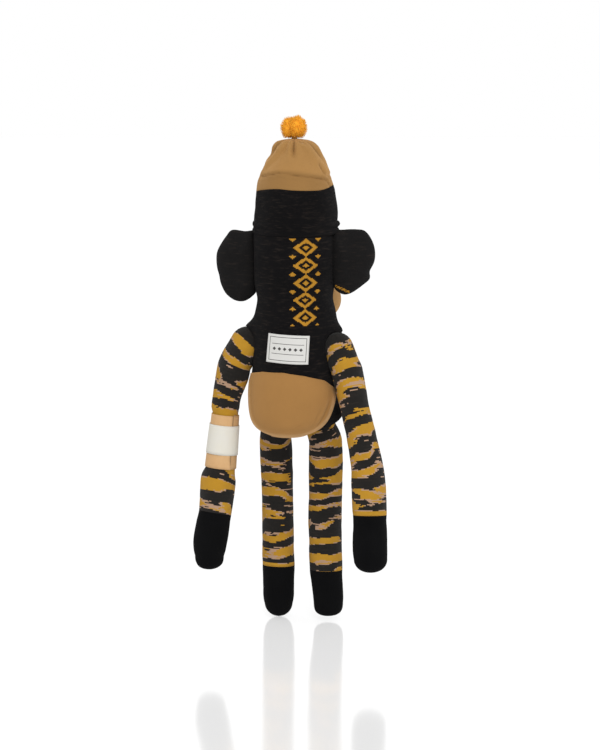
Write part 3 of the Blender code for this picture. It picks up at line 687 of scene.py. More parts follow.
def levels(node, shares):
    """Heights at shares of a node's height."""
    low, high = box_of(node)
    return [low.z + (high.z - low.z) * share for share in shares]


def node_middle(node):
    low, high = box_of(node)
    return (low + high) / 2


def reaches(node, place, aim):
    """How far a node's first and last vertices lie from a place along an aim."""
    found = [(vertex.co - place).dot(aim) for vertex in frame["nodes"][node].data.vertices]
    return min(found), max(found)


def joint_place(name):
    return Vector(JOINTS[name]["pos_m"])


# Body: one sock from the seat to inside the hat

BODY_SEGMENTS = 96
BODY_SHARES = {
    "torso_skin": (0.004, 0.022, 0.055, 0.10, 0.17, 0.26, 0.38, 0.50, 0.62, 0.74),
    "neck": (0.35, 0.75),
    "head_skin": (0.03, 0.08, 0.14, 0.22, 0.33, 0.45, 0.56, 0.66, 0.76, 0.86, 0.94, 0.985),
}
BODY_END = 12 * MM
BODY_FOOT_RINGS = 14
BODY_TOP_RINGS = 12
NECK_TUCK = 1.5 * MM
NECK_TUCK_HEIGHT = 0.3290
NECK_TUCK_TALL = 9.0 * MM
ROOT_CLEARANCE = 0.5 * MM
SHOULDER_RADII = {"left": 16.0 * MM, "right": 13.8 * MM}
HIP_RADIUS = 14.6 * MM
# Where the limbs' seams draw the body's sides out: a turn in degrees, then in mm the height, how far out,
# and the height over which it fades, and last the turn over which it fades
BODY_BULGES = (
    (96, 302.5, 6.0, 9.5, 26), (93, 301.4, 4.4, 4.4, 22), (-98, 302, 4.0, 9.5, 26),
    (-97, 298.4, 5.2, 5.6, 22), (-98, 317, 2.4, 13, 30), (-108, 215, 14.5, 15, 11),
)
MOTIF_TURN_DEG = 16.3
MOTIF_LOW = 0.3070
MOTIF_HIGH = 0.3885
MOTIF_COUNT = 5
MOTIF_HALF_WIDTH = 12.4 * MM
SEAM_TURN_DEG = 180.0
BODY_STREAK_LEAST = 0.49
PLAIN_STREAK_LEAST = 0.50
# (height above the seat's foot in mm, lean towards +X in mm)
SEAT_LEANS = ((0, 3.0), (8, 2.6), (18, 1.4), (34, 0.0))
# How far the thighs swing, and how much room the body's front leaves them
THIGH_SWINGS_DEG = (40, 55, 70, 85, 90)
THIGH_SPREADS_DEG = (0, 15, 30)
THIGH_REACH = 34.0 * MM
THIGH_MORE = 2.2 * MM
THIGH_CLEAR = 1.3 * MM
THIGH_TOP = 0.245
THIGH_BACK = 0.002
THIGH_TRIES = 24
THIGH_STEP = 0.4 * MM


def read_body():
    tree = skin_tree("torso_skin", "seat_skin", "neck", "head_skin")
    rows = []
    for node, shares in BODY_SHARES.items():
        centre = Vector((AXIS.x, node_middle(node).y, 0.0))
        rows += [level_section(tree, height, centre) for height in levels(node, shares)]
    return smooth_rows(rows, 8)


def thigh_runs():
    """Each thigh's place and direction at its joints' forward limits."""
    runs = []
    for side, sign in (("left", 1.0), ("right", -1.0)):
        for swing in THIGH_SWINGS_DEG:
            for spread in THIGH_SPREADS_DEG:
                down = Vector((0.0, -math.sin(math.radians(swing)), -math.cos(math.radians(swing))))
                turn = Matrix.Rotation(math.radians(-sign * spread), 3, Vector((0.0, 1.0, 0.0)))
                runs.append((joint_place(side + "_hip_swing"), turn @ down))
    return runs


BODY_ROWS = read_body()
BODY_LOW = BODY_ROWS[0][0]
BODY_HIGH = BODY_ROWS[-1][0]
ROOTS = [(joint_place(side + "_shoulder_swing"), radius) for side, radius in SHOULDER_RADII.items()]
ROOTS += [(joint_place(side + "_hip_swing"), HIP_RADIUS) for side in ("left", "right")]
THIGH_RUNS = thigh_runs()


def thigh_presses(point):
    for pivot, along in THIGH_RUNS:
        away = point - pivot
        reach = min(max(away.dot(along), 0.0), THIGH_REACH)
        radius = HIP_RADIUS + THIGH_CLEAR + THIGH_MORE * smooth_step(0.0, 0.022, reach)
        if (away - along * reach).length < radius:
            return True
    return False


def body_point(turn_deg, height, proud=0.0):
    """A place on the body's skin, or proud of it."""
    _, x, y, half_x, half_y = at_key(BODY_ROWS, height)
    tuck = NECK_TUCK * bell(height - NECK_TUCK_HEIGHT, NECK_TUCK_TALL)
    out = turn_vector(turn_deg)
    for bulge_turn, bulge_height, out_by, tall, wide in BODY_BULGES:
        beside = bell(turn_gap(turn_deg, bulge_turn), wide)
        tuck -= out_by * MM * beside * bell(height / MM - bulge_height, tall)
    x += at_key(SEAT_LEANS, (height - BODY_LOW) / MM)[1] * MM
    point = Vector((x + out.x * (half_x - tuck + proud), y + out.y * (half_y - tuck + proud), height))
    point += out * lumps(point, 38.0, 90.0) * PUCKER
    for root, radius in ROOTS:
        away = point - root
        reach = radius + ROOT_CLEARANCE + proud
        if away.length < reach:
            point = root + away.normalized() * reach
    # The front is drawn in where a swung thigh would press on it.
    if point.y < THIGH_BACK and height < THIGH_TOP:
        inward = Vector((-out.x * 0.4, 0.8, 0.8)).normalized()
        for _ in range(THIGH_TRIES):
            if not thigh_presses(point):
                break
            point = point + inward * THIGH_STEP
    return point


def blend_at_neck(piece):
    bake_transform(piece)


def build_body():
    # Rings lie close together where the body's ends turn in.
    foot = [BODY_LOW + BODY_END * (i / BODY_FOOT_RINGS) ** 2 for i in range(BODY_FOOT_RINGS)]
    top = [BODY_HIGH - BODY_END * (1 - i / BODY_TOP_RINGS) ** 2 for i in range(BODY_TOP_RINGS + 1)]
    heights = foot + steps_between(BODY_LOW + BODY_END, BODY_HIGH - BODY_END, RING_STEP) + top
    courses = [length / COURSE for length in run_lengths([body_point(0.0, height) for height in heights])]
    turns = [SEAM_TURN_DEG + 360.0 * j / BODY_SEGMENTS for j in range(BODY_SEGMENTS)]
    rings = [[body_point(turn, height) for turn in turns] for height in heights]
    wales = round(math.tau * at_key(BODY_ROWS, HEAD_LOW.z + 0.04)[3] / WALE)
    course_at = list(zip(heights, courses))
    low = at_key(course_at, MOTIF_LOW)[1]
    high = at_key(course_at, MOTIF_HIGH)[1]
    middle = round(wales * ((VIEW_TURN_DEG - MOTIF_TURN_DEG - SEAM_TURN_DEG) % 360.0) / 360.0)

    def motif(g):
        return g.group(LOZENGES, Middle=middle, Low=round(low), Count=MOTIF_COUNT,
                       Pitch=(high - low) / MOTIF_COUNT, Half_Width=MOTIF_HALF_WIDTH / WALE)["Mask"]

    start = sum(rings[0], Vector()) / BODY_SEGMENTS
    end = sum(rings[-1], Vector()) / BODY_SEGMENTS + UP * 0.3 * MM
    made = black_knit("body_black_knit", wales, BODY_STREAK_LEAST, motif)
    body = ring_surface("body_sock", rings, courses, wales, made, start, end)
    dress(body, None, "black_knit", "torso_skin", "neck", "head_skin", "torso_stuffing", "head_stuffing",
          fill=0.9)
    blend_at_neck(body)


# Limbs: a striped tube with a round root, and a plain black toe

LIMB_SEGMENTS = 56
ROOT_RINGS = 7
# Shares of height at which the upper part, the bend, the lower part and the toe are read
LIMB_SHARES = (
    (0.28, 0.48, 0.68, 0.88), (0.30, 0.75), (0.05, 0.20, 0.36, 0.52, 0.68, 0.82, 0.92),
    (0.02, 0.05, 0.10, 0.18, 0.30, 0.45, 0.62, 0.80, 0.90),
)
DECAGON_SHARE = 0.966
TOE_STEP = 1.6 * MM
TIP_SPAN = 13.0 * MM
TIP_STEPS = 14
LIMB_PUCKER = 0.45 * MM
TOE_PUCKER = 0.30 * MM
BLEND_REACH = 17.0 * MM
# Rise over run of the knit's courses, which lie higher at the limbs' back
COURSE_LEAN = 0.17
COURSE_LEAN_REACH = 12.0 * MM
# How square a toe ends, where 2 is round. In mm, how far the limb ends above its CAD solid, and how far
# above it the toe's seam shows. In courses, the plain ochre that ends the pattern. The stripes' slant,
# their place in the pattern, their pitch, and the course where the black root ends
LIMB_LOOKS = {
    "left_hand": (2.7, -2.2, 0.0, -9.0, 0.13, 12.0, 18.0, -3.0),
    "right_hand": (2.5, 6.2, 9.6, 3.0, -0.04, 211.0, 20.0, -3.0),
    "left_foot": (2.0, 0.0, 5.0, 1.5, 0.03, 431.0, 19.0, -40.0),
    "right_foot": (3.4, 1.2, 0.0, -9.0, -0.12, 655.0, 17.0, 0.0),
}
# (height in mm, shift towards +X, added radius), in mm, as the photograph shows each limb
LIMB_LEANS = {
    "left_hand": ((60, 2.6, 0.4), (90, 2.6, 0.6), (118, 1.0, 0.3), (150, 1.0, 0.8), (238, 0.3, 0.6),
                  (254, -0.9, 1.5), (266, -0.9, 1.5)),
    "right_hand": ((60, 0.0, 0.4), (118, -1.5, 0.4), (170, -2.4, 0.4), (240, 1.8, 0.8), (262, 2.6, 0.4),
                   (280, 3.4, 0.4)),
    "left_foot": ((0, 0.0, 0.3), (50, 0.0, 0.9), (140, 0.2, 0.6), (190, 2.2, 0.6)),
    "right_foot": ((0, -4.4, 0.2), (22, -4.0, 0.3), (50, -1.6, 0.8), (100, -0.6, 1.0), (160, -2.2, 0.9),
                   (186, -3.8, 0.9), (198, -4.8, 1.6)),
}
ARM_PARTS = ("shoulder", "upper_arm", "elbow", "forearm", "hand", "arm")
LEG_PARTS = ("hip", "thigh", "knee", "shin", "foot", "leg")


class LimbForm:
    """A limb's centreline and radius, read from its CAD skins, from its root to its tip."""

    def __init__(self, root, parts, root_radius, squeeze):
        toe = parts[-1]
        self.power, lift_mm, rise_mm, self.cuff, *self.stripes = LIMB_LOOKS[toe]
        self.leans = LIMB_LEANS[toe]
        self.squeeze = squeeze
        self.pivot = joint_place(root + "_swing")
        rows = []
        for node, shares in zip(parts, LIMB_SHARES):
            tree = skin_tree(node)
            rows += [level_section(tree, height, node_middle(node)) for height in levels(node, shares)
                     if height < self.pivot.z - 0.8 * root_radius]
        rows.sort(key=lambda row: -row[0])
        places = [(*self.pivot, root_radius)]
        places += [(x, y, z, min(a, b) / DECAGON_SHARE) for z, x, y, a, b in rows]
        dense = smooth_rows(places, 10)
        lengths = run_lengths([Vector(row[:3]) for row in dense])
        self.rows = [(length, *row) for length, row in zip(lengths, dense)]
        lift = lift_mm * MM
        length, x, y, z, radius = self.rows[-1]
        if lift < 0:
            self.rows.append((length - lift, x, y, z + lift, radius))
        self.length = length - lift
        low, high = box_of(toe)
        self.wrist = self.length_at(high.z + rise_mm * MM)
        self.tip = Vector((places[-1][0], places[-1][1], low.z + lift))
        self.tip.x += at_key(self.leans, self.tip.z / MM)[1] * MM

    def length_at(self, height):
        """How far along the limb its centreline passes a height."""
        return next((row[0] for row in self.rows if row[3] <= height), self.length)

    def place(self, length):
        row = at_key(self.rows, length)
        centre = Vector(row[1:4])
        radius = row[4]
        over = (length - (self.length - TIP_SPAN)) / TIP_SPAN
        if over > 0:
            full = at_key(self.rows, self.length - TIP_SPAN)[4]
            radius = full * max(1 - over ** self.power, 0.0) ** (1 / self.power)
        # The root stays on its joint, and the tip on its end.
        free = smooth_step(0.0, 0.022, length)
        _, lean, more = at_key(self.leans, centre.z / MM)
        centre.x += lean * MM * free
        radius += more * MM * free * smooth_step(self.length, self.length - 0.02, length)
        return self.squeeze(centre, radius) if self.squeeze else (centre, radius)

    def seam_share(self, length):
        """How much the skin itself leans up at the back, which it does round the toe's seam."""
        return bell(length - self.wrist, COURSE_LEAN_REACH)

    def course_sway(self, length):
        """How far the courses lean within a level ring."""
        lean = COURSE_LEAN * smooth_step(0.0, 0.03, length) * (1 - self.seam_share(length))
        return self.place(length)[1] * lean / COURSE

    def ring(self, length, pucker):
        centre, radius = self.place(length)
        ahead, _ = self.place(min(length + 1.5 * MM, self.length))
        behind, _ = self.place(max(length - 1.5 * MM, 0.0))
        along = (ahead - behind).normalized()
        side = square_to(along, LEFTWARDS)
        front = along.cross(side)
        ring = []
        for j in range(LIMB_SEGMENTS):
            out = between(side, front, math.tau * j / LIMB_SEGMENTS)
            point = centre + out * radius
            point -= along * out.y * radius * COURSE_LEAN * self.seam_share(length)
            swell = lumps(point, 55.0, 130.0) * pucker * smooth_step(0.0, 0.014, length)
            ring.append(point + out * swell)
        return ring


def build_limb(side, names, root_radius, squeeze=None):
    """A striped tube with a round root in the body's dish, and its black toe."""
    root, upper, bend, lower, toe, kind = [side + "_" + name for name in names]
    form = LimbForm(root, (upper, bend, lower, toe), root_radius, squeeze)
    wales = round(math.tau * form.place(form.wrist - 0.02)[1] / WALE)
    first = form.ring(0.5 * MM, 0.0)
    along = (form.place(2 * MM)[0] - form.pivot).normalized()
    rings = []
    courses = []
    for i in range(1, ROOT_RINGS):
        turn = math.radians(90.0 * i / ROOT_RINGS)
        centre = form.pivot - along * root_radius * math.cos(turn)
        reach = root_radius * math.sin(turn)
        rings.append([centre + (point - form.pivot).normalized() * reach for point in first])
        courses.append(-root_radius * (math.pi / 2 - turn) / COURSE)
    lengths = steps_between(0.0, form.wrist, RING_STEP) + [form.wrist]
    sways = [0.0] * len(rings) + [form.course_sway(length) for length in lengths]
    rings += [form.ring(length, LIMB_PUCKER) for length in lengths]
    courses += [length / COURSE for length in lengths]
    cuff = form.wrist / COURSE - form.cuff
    stripes = dict(zip(("Slant", "Draw", "Pitch", "Root"), form.stripes), Cuff=cuff)
    wrist = form.place(form.wrist)[0]
    limb = ring_surface(kind + "_sock", rings, courses, wales, striped_knit(kind + "_knit", wales, stripes),
                        form.pivot - along * root_radius, wrist, sways)
    dress(limb, None, "striped_knit", root, upper, upper + "_stuffing", bend, lower, lower + "_stuffing",
          fill=0.85)
    at = form.length_at(joint_place(bend + "_bend").z)
    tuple(form.place(at - BLEND_REACH)[0])
    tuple(form.place(at + BLEND_REACH)[0])
    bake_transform(limb)

    end = form.length - TIP_SPAN
    lengths = steps_between(form.wrist, end, TOE_STEP)
    lengths += [end + TIP_SPAN * math.sin(math.pi / 2 * i / TIP_STEPS) for i in range(TIP_STEPS)]
    rings = [form.ring(length, TOE_PUCKER if i else LIMB_PUCKER) for i, length in enumerate(lengths)]
    toe_piece = ring_surface(toe + "_toe", rings, [length / COURSE for length in lengths], wales,
                             toe_knit(toe + "_knit", wales), wrist, form.tip)
    dress(toe_piece, lower, "toe_knit", toe, fill=0.9)


# Paper sleeve round the left forearm

SLEEVE_GAP = 1.0 * MM
SLEEVE_RADII = (13.4 * MM, 15.3 * MM)
SLEEVE_PAPER = 0.25 * MM
SLEEVE_LAP_DEG = 30.0
SLEEVE_WRAP_DEG = 360.0 + SLEEVE_LAP_DEG
SLEEVE_SEAM_DEG = 344.0
SLEEVE_COLUMNS = 72
SLEEVE_ROWS = 18
SLEEVE_MORE = 2.4 * MM
FLAP_TALL = 8.5 * MM
FLAP_WIDE_DEG = 24.0
FLAP_LIFT = 2.2 * MM
SLIP_SHARES = (0.19, 0.74)
SLIP_CLEAR = 0.50 * MM
SLIP_SEAM_DEG = 172.0
SLIP_WRAP_DEG = 350.0
SLIP_PAPER = 0.2 * MM


class SleeveForm:
    """The cone of the paper sleeve, on the axis that it turns about."""

    def __init__(self):
        self.centre = joint_place("band_turn")
        self.axis = Vector(JOINTS["band_turn"]["axis"]).normalized()
        start, self.end = reaches("paper_band", self.centre, self.axis)
        self.start = start - SLEEVE_MORE
        self.side = square_to(self.axis, LEFTWARDS)
        self.back = self.axis.cross(self.side)
        if self.back.y < 0:
            self.back = -self.back

    def radius(self, reach):
        top, end = SLEEVE_RADII
        return top + (end - top) * (reach - self.start) / (self.end - self.start)

    def point(self, turn_deg, share, proud):
        """A place at a turn from the back towards +X, and at a share of the way down."""
        reach = self.start + (self.end - self.start) * share
        out = between(self.back, self.side, math.radians(turn_deg))
        return self.centre + self.axis * reach + out * (self.radius(reach) + proud)

    def squeeze(self, centre, radius):
        """Draws a limb's section in to fit inside the sleeve."""
        reach = (centre - self.centre).dot(self.axis)
        inside = smooth_step(self.start - 7 * MM, self.start - 1 * MM, reach)
        inside *= 1 - smooth_step(self.end + 1 * MM, self.end + 12 * MM, reach)
        held = min(radius, self.radius(reach) - SLEEVE_GAP)
        return centre.lerp(self.centre + self.axis * reach, inside), radius + (held - radius) * inside


SLEEVE = SleeveForm()


def paper_material(name, base, shade, fibre_scale, painted_lap_shade=False):
    """Paper with a cloudy, fibrous tone, and if it has a lap, a painted shadow line where the lap ends and
    painted shade on the inner layer just past it.
    """
    g = Finish(name, 0.72, 0.3)
    where = g.spot()
    fibres = g.noise(g.stretch(where, 1.0, 1.0, 0.35), fibre_scale, 4.0, 0.65)
    tone = (fibres - 0.5) * 0.55 + g.ramp(g.noise(where, 60.0, 2.0, 0.5), 0.3, 0.8, 0.0, 0.35)
    colour = g.mix(tone, base, shade)
    if painted_lap_shade:
        around, _, _ = g.stitches()
        lap = SLEEVE_LAP_DEG / SLEEVE_WRAP_DEG
        # Painted shadow: a dark line at the lap's free edge, and painted shade on the inner layer past it
        line = g.ramp(abs(around - (lap + 0.006)), 0.004, 0.010, 0.42, 0.0)
        painted_under_shade = (around > lap) * (around < 0.30)
        colour = g.scale(colour, 1.0 - (painted_under_shade * 0.12 + line))
    g.feed(g.inputs["Roughness"], g.ramp(fibres, 0.2, 0.8, 0.62, 0.82))
    return g.look(colour, fibres, 0.25, 0.12)


def build_sleeve():
    length = SLEEVE.end - SLEEVE.start

    def place(down, around):
        turn = SLEEVE_SEAM_DEG - SLEEVE_WRAP_DEG * around
        left = SLEEVE_WRAP_DEG * (1.0 - around)
        lap = smooth_step(SLEEVE_LAP_DEG + 14.0, SLEEVE_LAP_DEG, left) * (SLEEVE_PAPER + 0.08 * MM)
        near_end = max(0.0, 1.0 - left / FLAP_WIDE_DEG)
        low = max(0.0, 1.0 - (1.0 - down) * length / FLAP_TALL)
        flap = FLAP_LIFT * near_end ** 1.5 * low
        wave = 0.08 * MM * math.sin(math.radians(3 * turn) + 4 * down)
        return SLEEVE.point(turn, down, lap + flap + wave + 0.12 * MM * near_end)

    made = paper_material("kraft_paper_finish", KRAFT, KRAFT_SHADE, 700.0, painted_lap_shade=True)
    band = sheet_grid("kraft_sleeve", place, SLEEVE_ROWS, SLEEVE_COLUMNS, made)
    thicken(band, SLEEVE_PAPER, 1.0)
    dress(band, "paper_band", "kraft_paper", "paper_band")


def build_slip():
    """The white paper slip wound once round the sleeve, left without print."""
    def place(down, around):
        top, end = SLIP_SHARES
        turn = SLIP_SEAM_DEG + SLIP_WRAP_DEG * around
        return SLEEVE.point(turn, top + (end - top) * down, SLEEVE_PAPER + SLIP_CLEAR)

    made = paper_material("white_paper_finish", PAPER_WHITE, LABEL_WHITE, 900.0)
    slip = sheet_grid("white_slip", place, SLEEVE_ROWS // 2, SLEEVE_COLUMNS, made)
    slip.data.flip_normals()
    thicken(slip, SLIP_PAPER, 1.0)
    dress(slip, "paper_band", "white_paper", "paper_band_label")


# Seat: the tan heel pocket over the lower back

SEAT_LEFT_DEG = 97.0
SEAT_RIGHT_DEG = 88.0
SEAT_ROWS = 36
SEAT_COLUMNS = 80
SEAT_RADIUS = 41.0 * MM
SEAT_PROUD = 0.9 * MM
SEAT_THICK = 0.5 * MM
SEAT_WELT_TURN_DEG = 62.0
SEAT_WELT_DROP = 0.84
SEAT_WELT_DEEP = 0.25 * MM
SEAT_HEM = 1.3 * MM
# (turn in degrees, height above the seat's lowest level as a share of the seat solid's height)
SEAT_LINE_SHARES = (
    (-100, 0.72), (-74, 0.83), (-57, 0.95), (-25, 1.05), (3, 1.10), (35, 1.085), (79, 0.985), (100, 0.94),
)
# (turn and drop share at one end, turn and drop share at the other, depth in mm, half width in mm)
SEAT_CREASES = (
    (-66, 0.22, -58, 0.62, 0.9, 1.6), (-74, 0.30, -66, 0.70, 0.8, 1.4), (-30, 0.55, -14, 0.66, 0.25, 1.2),
    (-34, 0.64, -20, 0.72, 0.2, 1.1), (-51, 0.34, -47, 0.58, 0.30, 1.1), (-82, 0.36, -76, 0.74, 0.6, 1.2),
)


def crease_depth(creases, turn, share, radius, tall):
    """How deep the creases draw a cloth in at a turn and a share, with a roll beside each, and how much
    painted shade falls along their lines.
    """
    depth = 0.0
    line = 0.0
    here = Vector((math.radians(turn) * radius, share * tall))
    for turn_a, share_a, turn_b, share_b, deep, width in creases:
        start = Vector((math.radians(turn_a) * radius, share_a * tall))
        run = Vector((math.radians(turn_b) * radius, share_b * tall)) - start
        along = min(max((here - start).dot(run) / run.length_squared, 0.0), 1.0)
        gap = (here - start - run * along).length
        fade = math.sin(math.pi * (0.15 + 0.7 * along))
        wide = width * MM
        depth += deep * MM * fade * (bell(gap, wide) - 0.5 * bell(gap - 2.2 * wide, wide * 1.2))
        # How much painted shade falls along each crease
        line += min(max(deep, -0.5), 1.0) * fade * bell(gap, wide * 0.7)
    return depth, min(line, 1.0)


def build_seat():
    low, high = box_of("seat_skin")
    tall = high.z - low.z
    painted_rim_light = []
    painted_crease_shade = []
    rows = []
    for i in range(SEAT_ROWS + 1):
        drop = i / SEAT_ROWS
        row = []
        for j in range(SEAT_COLUMNS + 1):
            turn = -SEAT_RIGHT_DEG + (SEAT_RIGHT_DEG + SEAT_LEFT_DEG) * j / SEAT_COLUMNS
            top = low.z + tall * at_key(SEAT_LINE_SHARES, turn)[1]
            # Rows crowd towards the bottom, where the skin turns under.
            height = BODY_LOW + 0.1 * MM + (top - BODY_LOW) * (1 - drop) ** 1.6
            side = min(turn + SEAT_RIGHT_DEG, SEAT_LEFT_DEG - turn)
            edge = min(1.0, side / 6.0, i / 3)
            across = abs(turn + 4.0) / SEAT_WELT_TURN_DEG
            down = (top - height) / (top - BODY_LOW) / SEAT_WELT_DROP
            welt = (across ** 4 + down ** 4) ** 0.25
            groove = bell((welt - 1.0) * 30, 1.3)
            outer = smooth_step(1.06, 1.14, welt)
            deep, line = crease_depth(SEAT_CREASES, turn, drop, SEAT_RADIUS, tall)
            proud = SEAT_PROUD * smooth_step(0.0, 1.0, edge) + 0.5 * MM * outer
            proud -= SEAT_WELT_DEEP * groove + deep
            row.append(body_point(turn, height, max(proud, 0.25 * MM)))
            hem = 1 - smooth_step(SEAT_HEM, 2 * SEAT_HEM, height - BODY_LOW)
            # Painted rim light, paler beyond the welt and along the hem
            painted_rim_light.append(max(outer * smooth_step(0.0, 0.25, drop) * 0.75, 0.9 * hem))
            # Painted shade in the welt's groove and along the creases
            painted_crease_shade.append(max(0.16 * groove, line))
        rows.append(row)
    wales = round(math.radians(SEAT_RIGHT_DEG + SEAT_LEFT_DEG) * SEAT_RADIUS / FINE_WALE)
    lengths = run_lengths([row[SEAT_COLUMNS // 2] for row in rows])
    work = Work()
    work.grid([work.row(row) for row in rows],
              lambda i, j: (j / SEAT_COLUMNS * wales, -lengths[i] / FINE_COURSE), closed=False)
    seat = work.piece("seat_pocket", tan_knit("seat_tan_knit", wales * 2, SEAT_TAN, painted_rim_light=True))
    store(seat, "painted_rim_light", painted_rim_light)
    store(seat, "painted_crease_shade", painted_crease_shade)
    if seat.data.polygons[len(seat.data.polygons) // 4].normal.y < 0:
        seat.data.flip_normals()
    thicken(seat, SEAT_THICK, -1.0)
    dress(seat, "torso", "tan_knit", "seat_skin", fill=0.9)


# Woven label on the back

LABEL_WIDE_MM = 40.0
LABEL_TALL_MM = 26.6
LABEL_LEAN = math.radians(2.6)
LABEL_THICK = 0.4 * MM
LABEL_PROUD = 0.9 * MM


def label_material():
    """White woven ribbon with a plain woven border and a row of small diamonds."""
    g = Finish("label_weave", 0.78, 0.3, 0.1)
    across, down, _ = g.stitches()
    wide = across * LABEL_WIDE_MM
    tall = down * LABEL_TALL_MM
    side = wide & (LABEL_WIDE_MM - wide)
    end = tall & (LABEL_TALL_MM - tall)
    middle = abs(tall - LABEL_TALL_MM / 2)
    repeat = abs((wide / 5.0).fract() - 0.5)
    row = repeat * 5.0 + middle < 1.7
    inner = (row | middle.math("COMPARE", 4.6, 0.25)) * (side > 5.0)
    mask = (side & end).math("COMPARE", 2.6, 0.28) | inner
    weave = (wide * (math.tau / 0.42)).sine() * (tall * (math.tau / 0.5)).sine()
    white = g.mix(weave * 0.10 + 0.10, LABEL_WHITE, LABEL_SHADE)
    return g.look(g.mix(mask, white, LABEL_LINE), weave, 0.5, 0.12)


def build_label():
    middle = node_middle("back_label")
    _, x, y, half_x, half_y = at_key(BODY_ROWS, middle.z)
    back = box_of("back_label")[1].y
    turn_mid = math.degrees(math.atan2(middle.x - x, back - y))

    def place(down, across):
        wide = (0.5 - across) * LABEL_WIDE_MM * MM
        tall = (0.5 - down) * LABEL_TALL_MM * MM
        out = wide * math.cos(LABEL_LEAN) - tall * math.sin(LABEL_LEAN)
        up = tall * math.cos(LABEL_LEAN) + wide * math.sin(LABEL_LEAN)
        corner = (abs(across - 0.5) * 2) ** 8 * 0.25 * MM
        lift = LABEL_PROUD + corner + 0.25 * MM * math.sin(9 * across + 2 * down)
        return body_point(turn_mid + math.degrees(out * 2 / (half_x + half_y)), middle.z + up, lift)

    label = sheet_grid("woven_back_label", place, 20, 30, label_material())
    label.data.flip_normals()
    thicken(label, LABEL_THICK, 0.0)
    dress(label, None, "woven_label", "back_label")
    blend_at_neck(label)


# Hat: tan crown, black band and rolled brim

HAT_SEGMENTS = 100
HAT_THICK = 0.6 * MM
CROWN_ROWS = 46
BAND_ROWS = 20
# (height share from the brim's foot to the tie, half width share towards -X, share towards +X)
HAT_ROW_SHARES = (
    (0.000, 0.980, 0.955), (0.054, 0.985, 0.950), (0.120, 1.000, 0.945), (0.186, 1.010, 0.930),
    (0.252, 1.000, 0.910), (0.319, 0.980, 0.905), (0.385, 0.955, 0.890), (0.450, 0.930, 0.880),
    (0.516, 0.885, 0.860), (0.581, 0.838, 0.815), (0.647, 0.800, 0.755), (0.713, 0.740, 0.665),
    (0.778, 0.675, 0.570), (0.843, 0.610, 0.485), (0.896, 0.545, 0.460), (0.930, 0.460, 0.435),
    (0.950, 0.385, 0.400), (0.962, 0.310, 0.310), (0.971, 0.225, 0.225), (0.976, 0.120, 0.120),
    (0.982, 0.054, 0.054), (1.000, 0.046, 0.046),
)
# (turn in degrees, height of the tan's lower edge above the crown solid's foot, in mm)
CROWN_LINE = (
    (-180, 0.5), (-120, 3.0), (-90, 4.0), (-72, 2.6), (-48, 0.4), (-12, 0.6),
    (15, 1.8), (45, 0.3), (79, -2.2), (120, -1.6), (180, 0.5),
)
# (turn, height share at one end, turn, height share at the other, depth in mm, half width in mm)
CROWN_CREASES = (
    (-9, 0.985, -9, 0.815, 3.4, 2.8), (16, 0.970, 60, 0.690, -1.9, 3.2),
    (44, 0.955, 80, 0.790, 1.8, 2.6), (70, 0.900, 96, 0.700, -1.0, 3.0),
    (-26, 0.950, -44, 0.935, 1.5, 1.1), (-34, 0.960, -56, 0.760, -1.2, 3.4),
    (-60, 0.950, -78, 0.780, 1.5, 2.6), (-60, 0.730, -70, 0.600, 1.3, 1.6),
    (-68, 0.560, -76, 0.480, 1.2, 1.3), (-76, 0.690, -66, 0.570, -0.9, 1.5),
    (66, 0.580, 34, 0.605, 0.9, 1.1), (34, 0.605, 14, 0.635, 1.1, 1.1),
    (14, 0.635, -40, 0.585, 1.0, 1.0), (-40, 0.585, -70, 0.557, 1.5, 1.1),
    (-44, 0.560, -66, 0.540, 0.7, 0.8), (110, 0.970, 128, 0.740, 1.6, 2.6),
    (152, 0.970, 160, 0.800, 1.4, 2.2), (-168, 0.970, -172, 0.780, 1.6, 2.4),
    (-132, 0.970, -140, 0.740, 1.5, 2.4), (-104, 0.960, -108, 0.820, 1.2, 2.2),
    (100, 0.610, 170, 0.630, 0.6, 1.1), (-90, 0.600, -150, 0.620, 0.6, 1.1),
)
# Below its seam crease the crown's cloth takes painted shade
CROWN_SEAM_SHARE = 0.572
CROWN_SEAM_RISE = 0.062
CROWN_LOW_SHADE = 0.55
# (out from the hat's cloth in mm, height share of the brim), round the rolled hem
BRIM_PROFILE = (
    (-1.6, 0.10), (-0.6, 0.00), (0.8, 0.02), (1.7, 0.12), (1.9, 0.26), (1.5, 0.40), (1.0, 0.50),
    (1.5, 0.60), (2.0, 0.74), (1.6, 0.90), (0.5, 1.02), (-0.8, 0.96), (-1.8, 0.70), (-2.0, 0.40),
)
BRIM_DROP = 2.2 * MM
BRIM_LOW, BRIM_HIGH = box_of("hat_brim")
HAT_RADIUS = (BRIM_HIGH.x - BRIM_LOW.x) / 2 - 1.2 * MM
HAT_WALES = round(math.tau * HAT_RADIUS / FINE_WALE)
HAT_FOOT = BRIM_LOW.z
HAT_TOP = box_of("hat_crown")[1].z + 3.0 * MM
HAT_ROWS = smooth_rows(HAT_ROW_SHARES, 6)
HAT_TURNS = [turn_gap(360.0 * j / HAT_SEGMENTS) for j in range(HAT_SEGMENTS)]
CROWN_LINE_ROWS = smooth_rows(CROWN_LINE, 8)


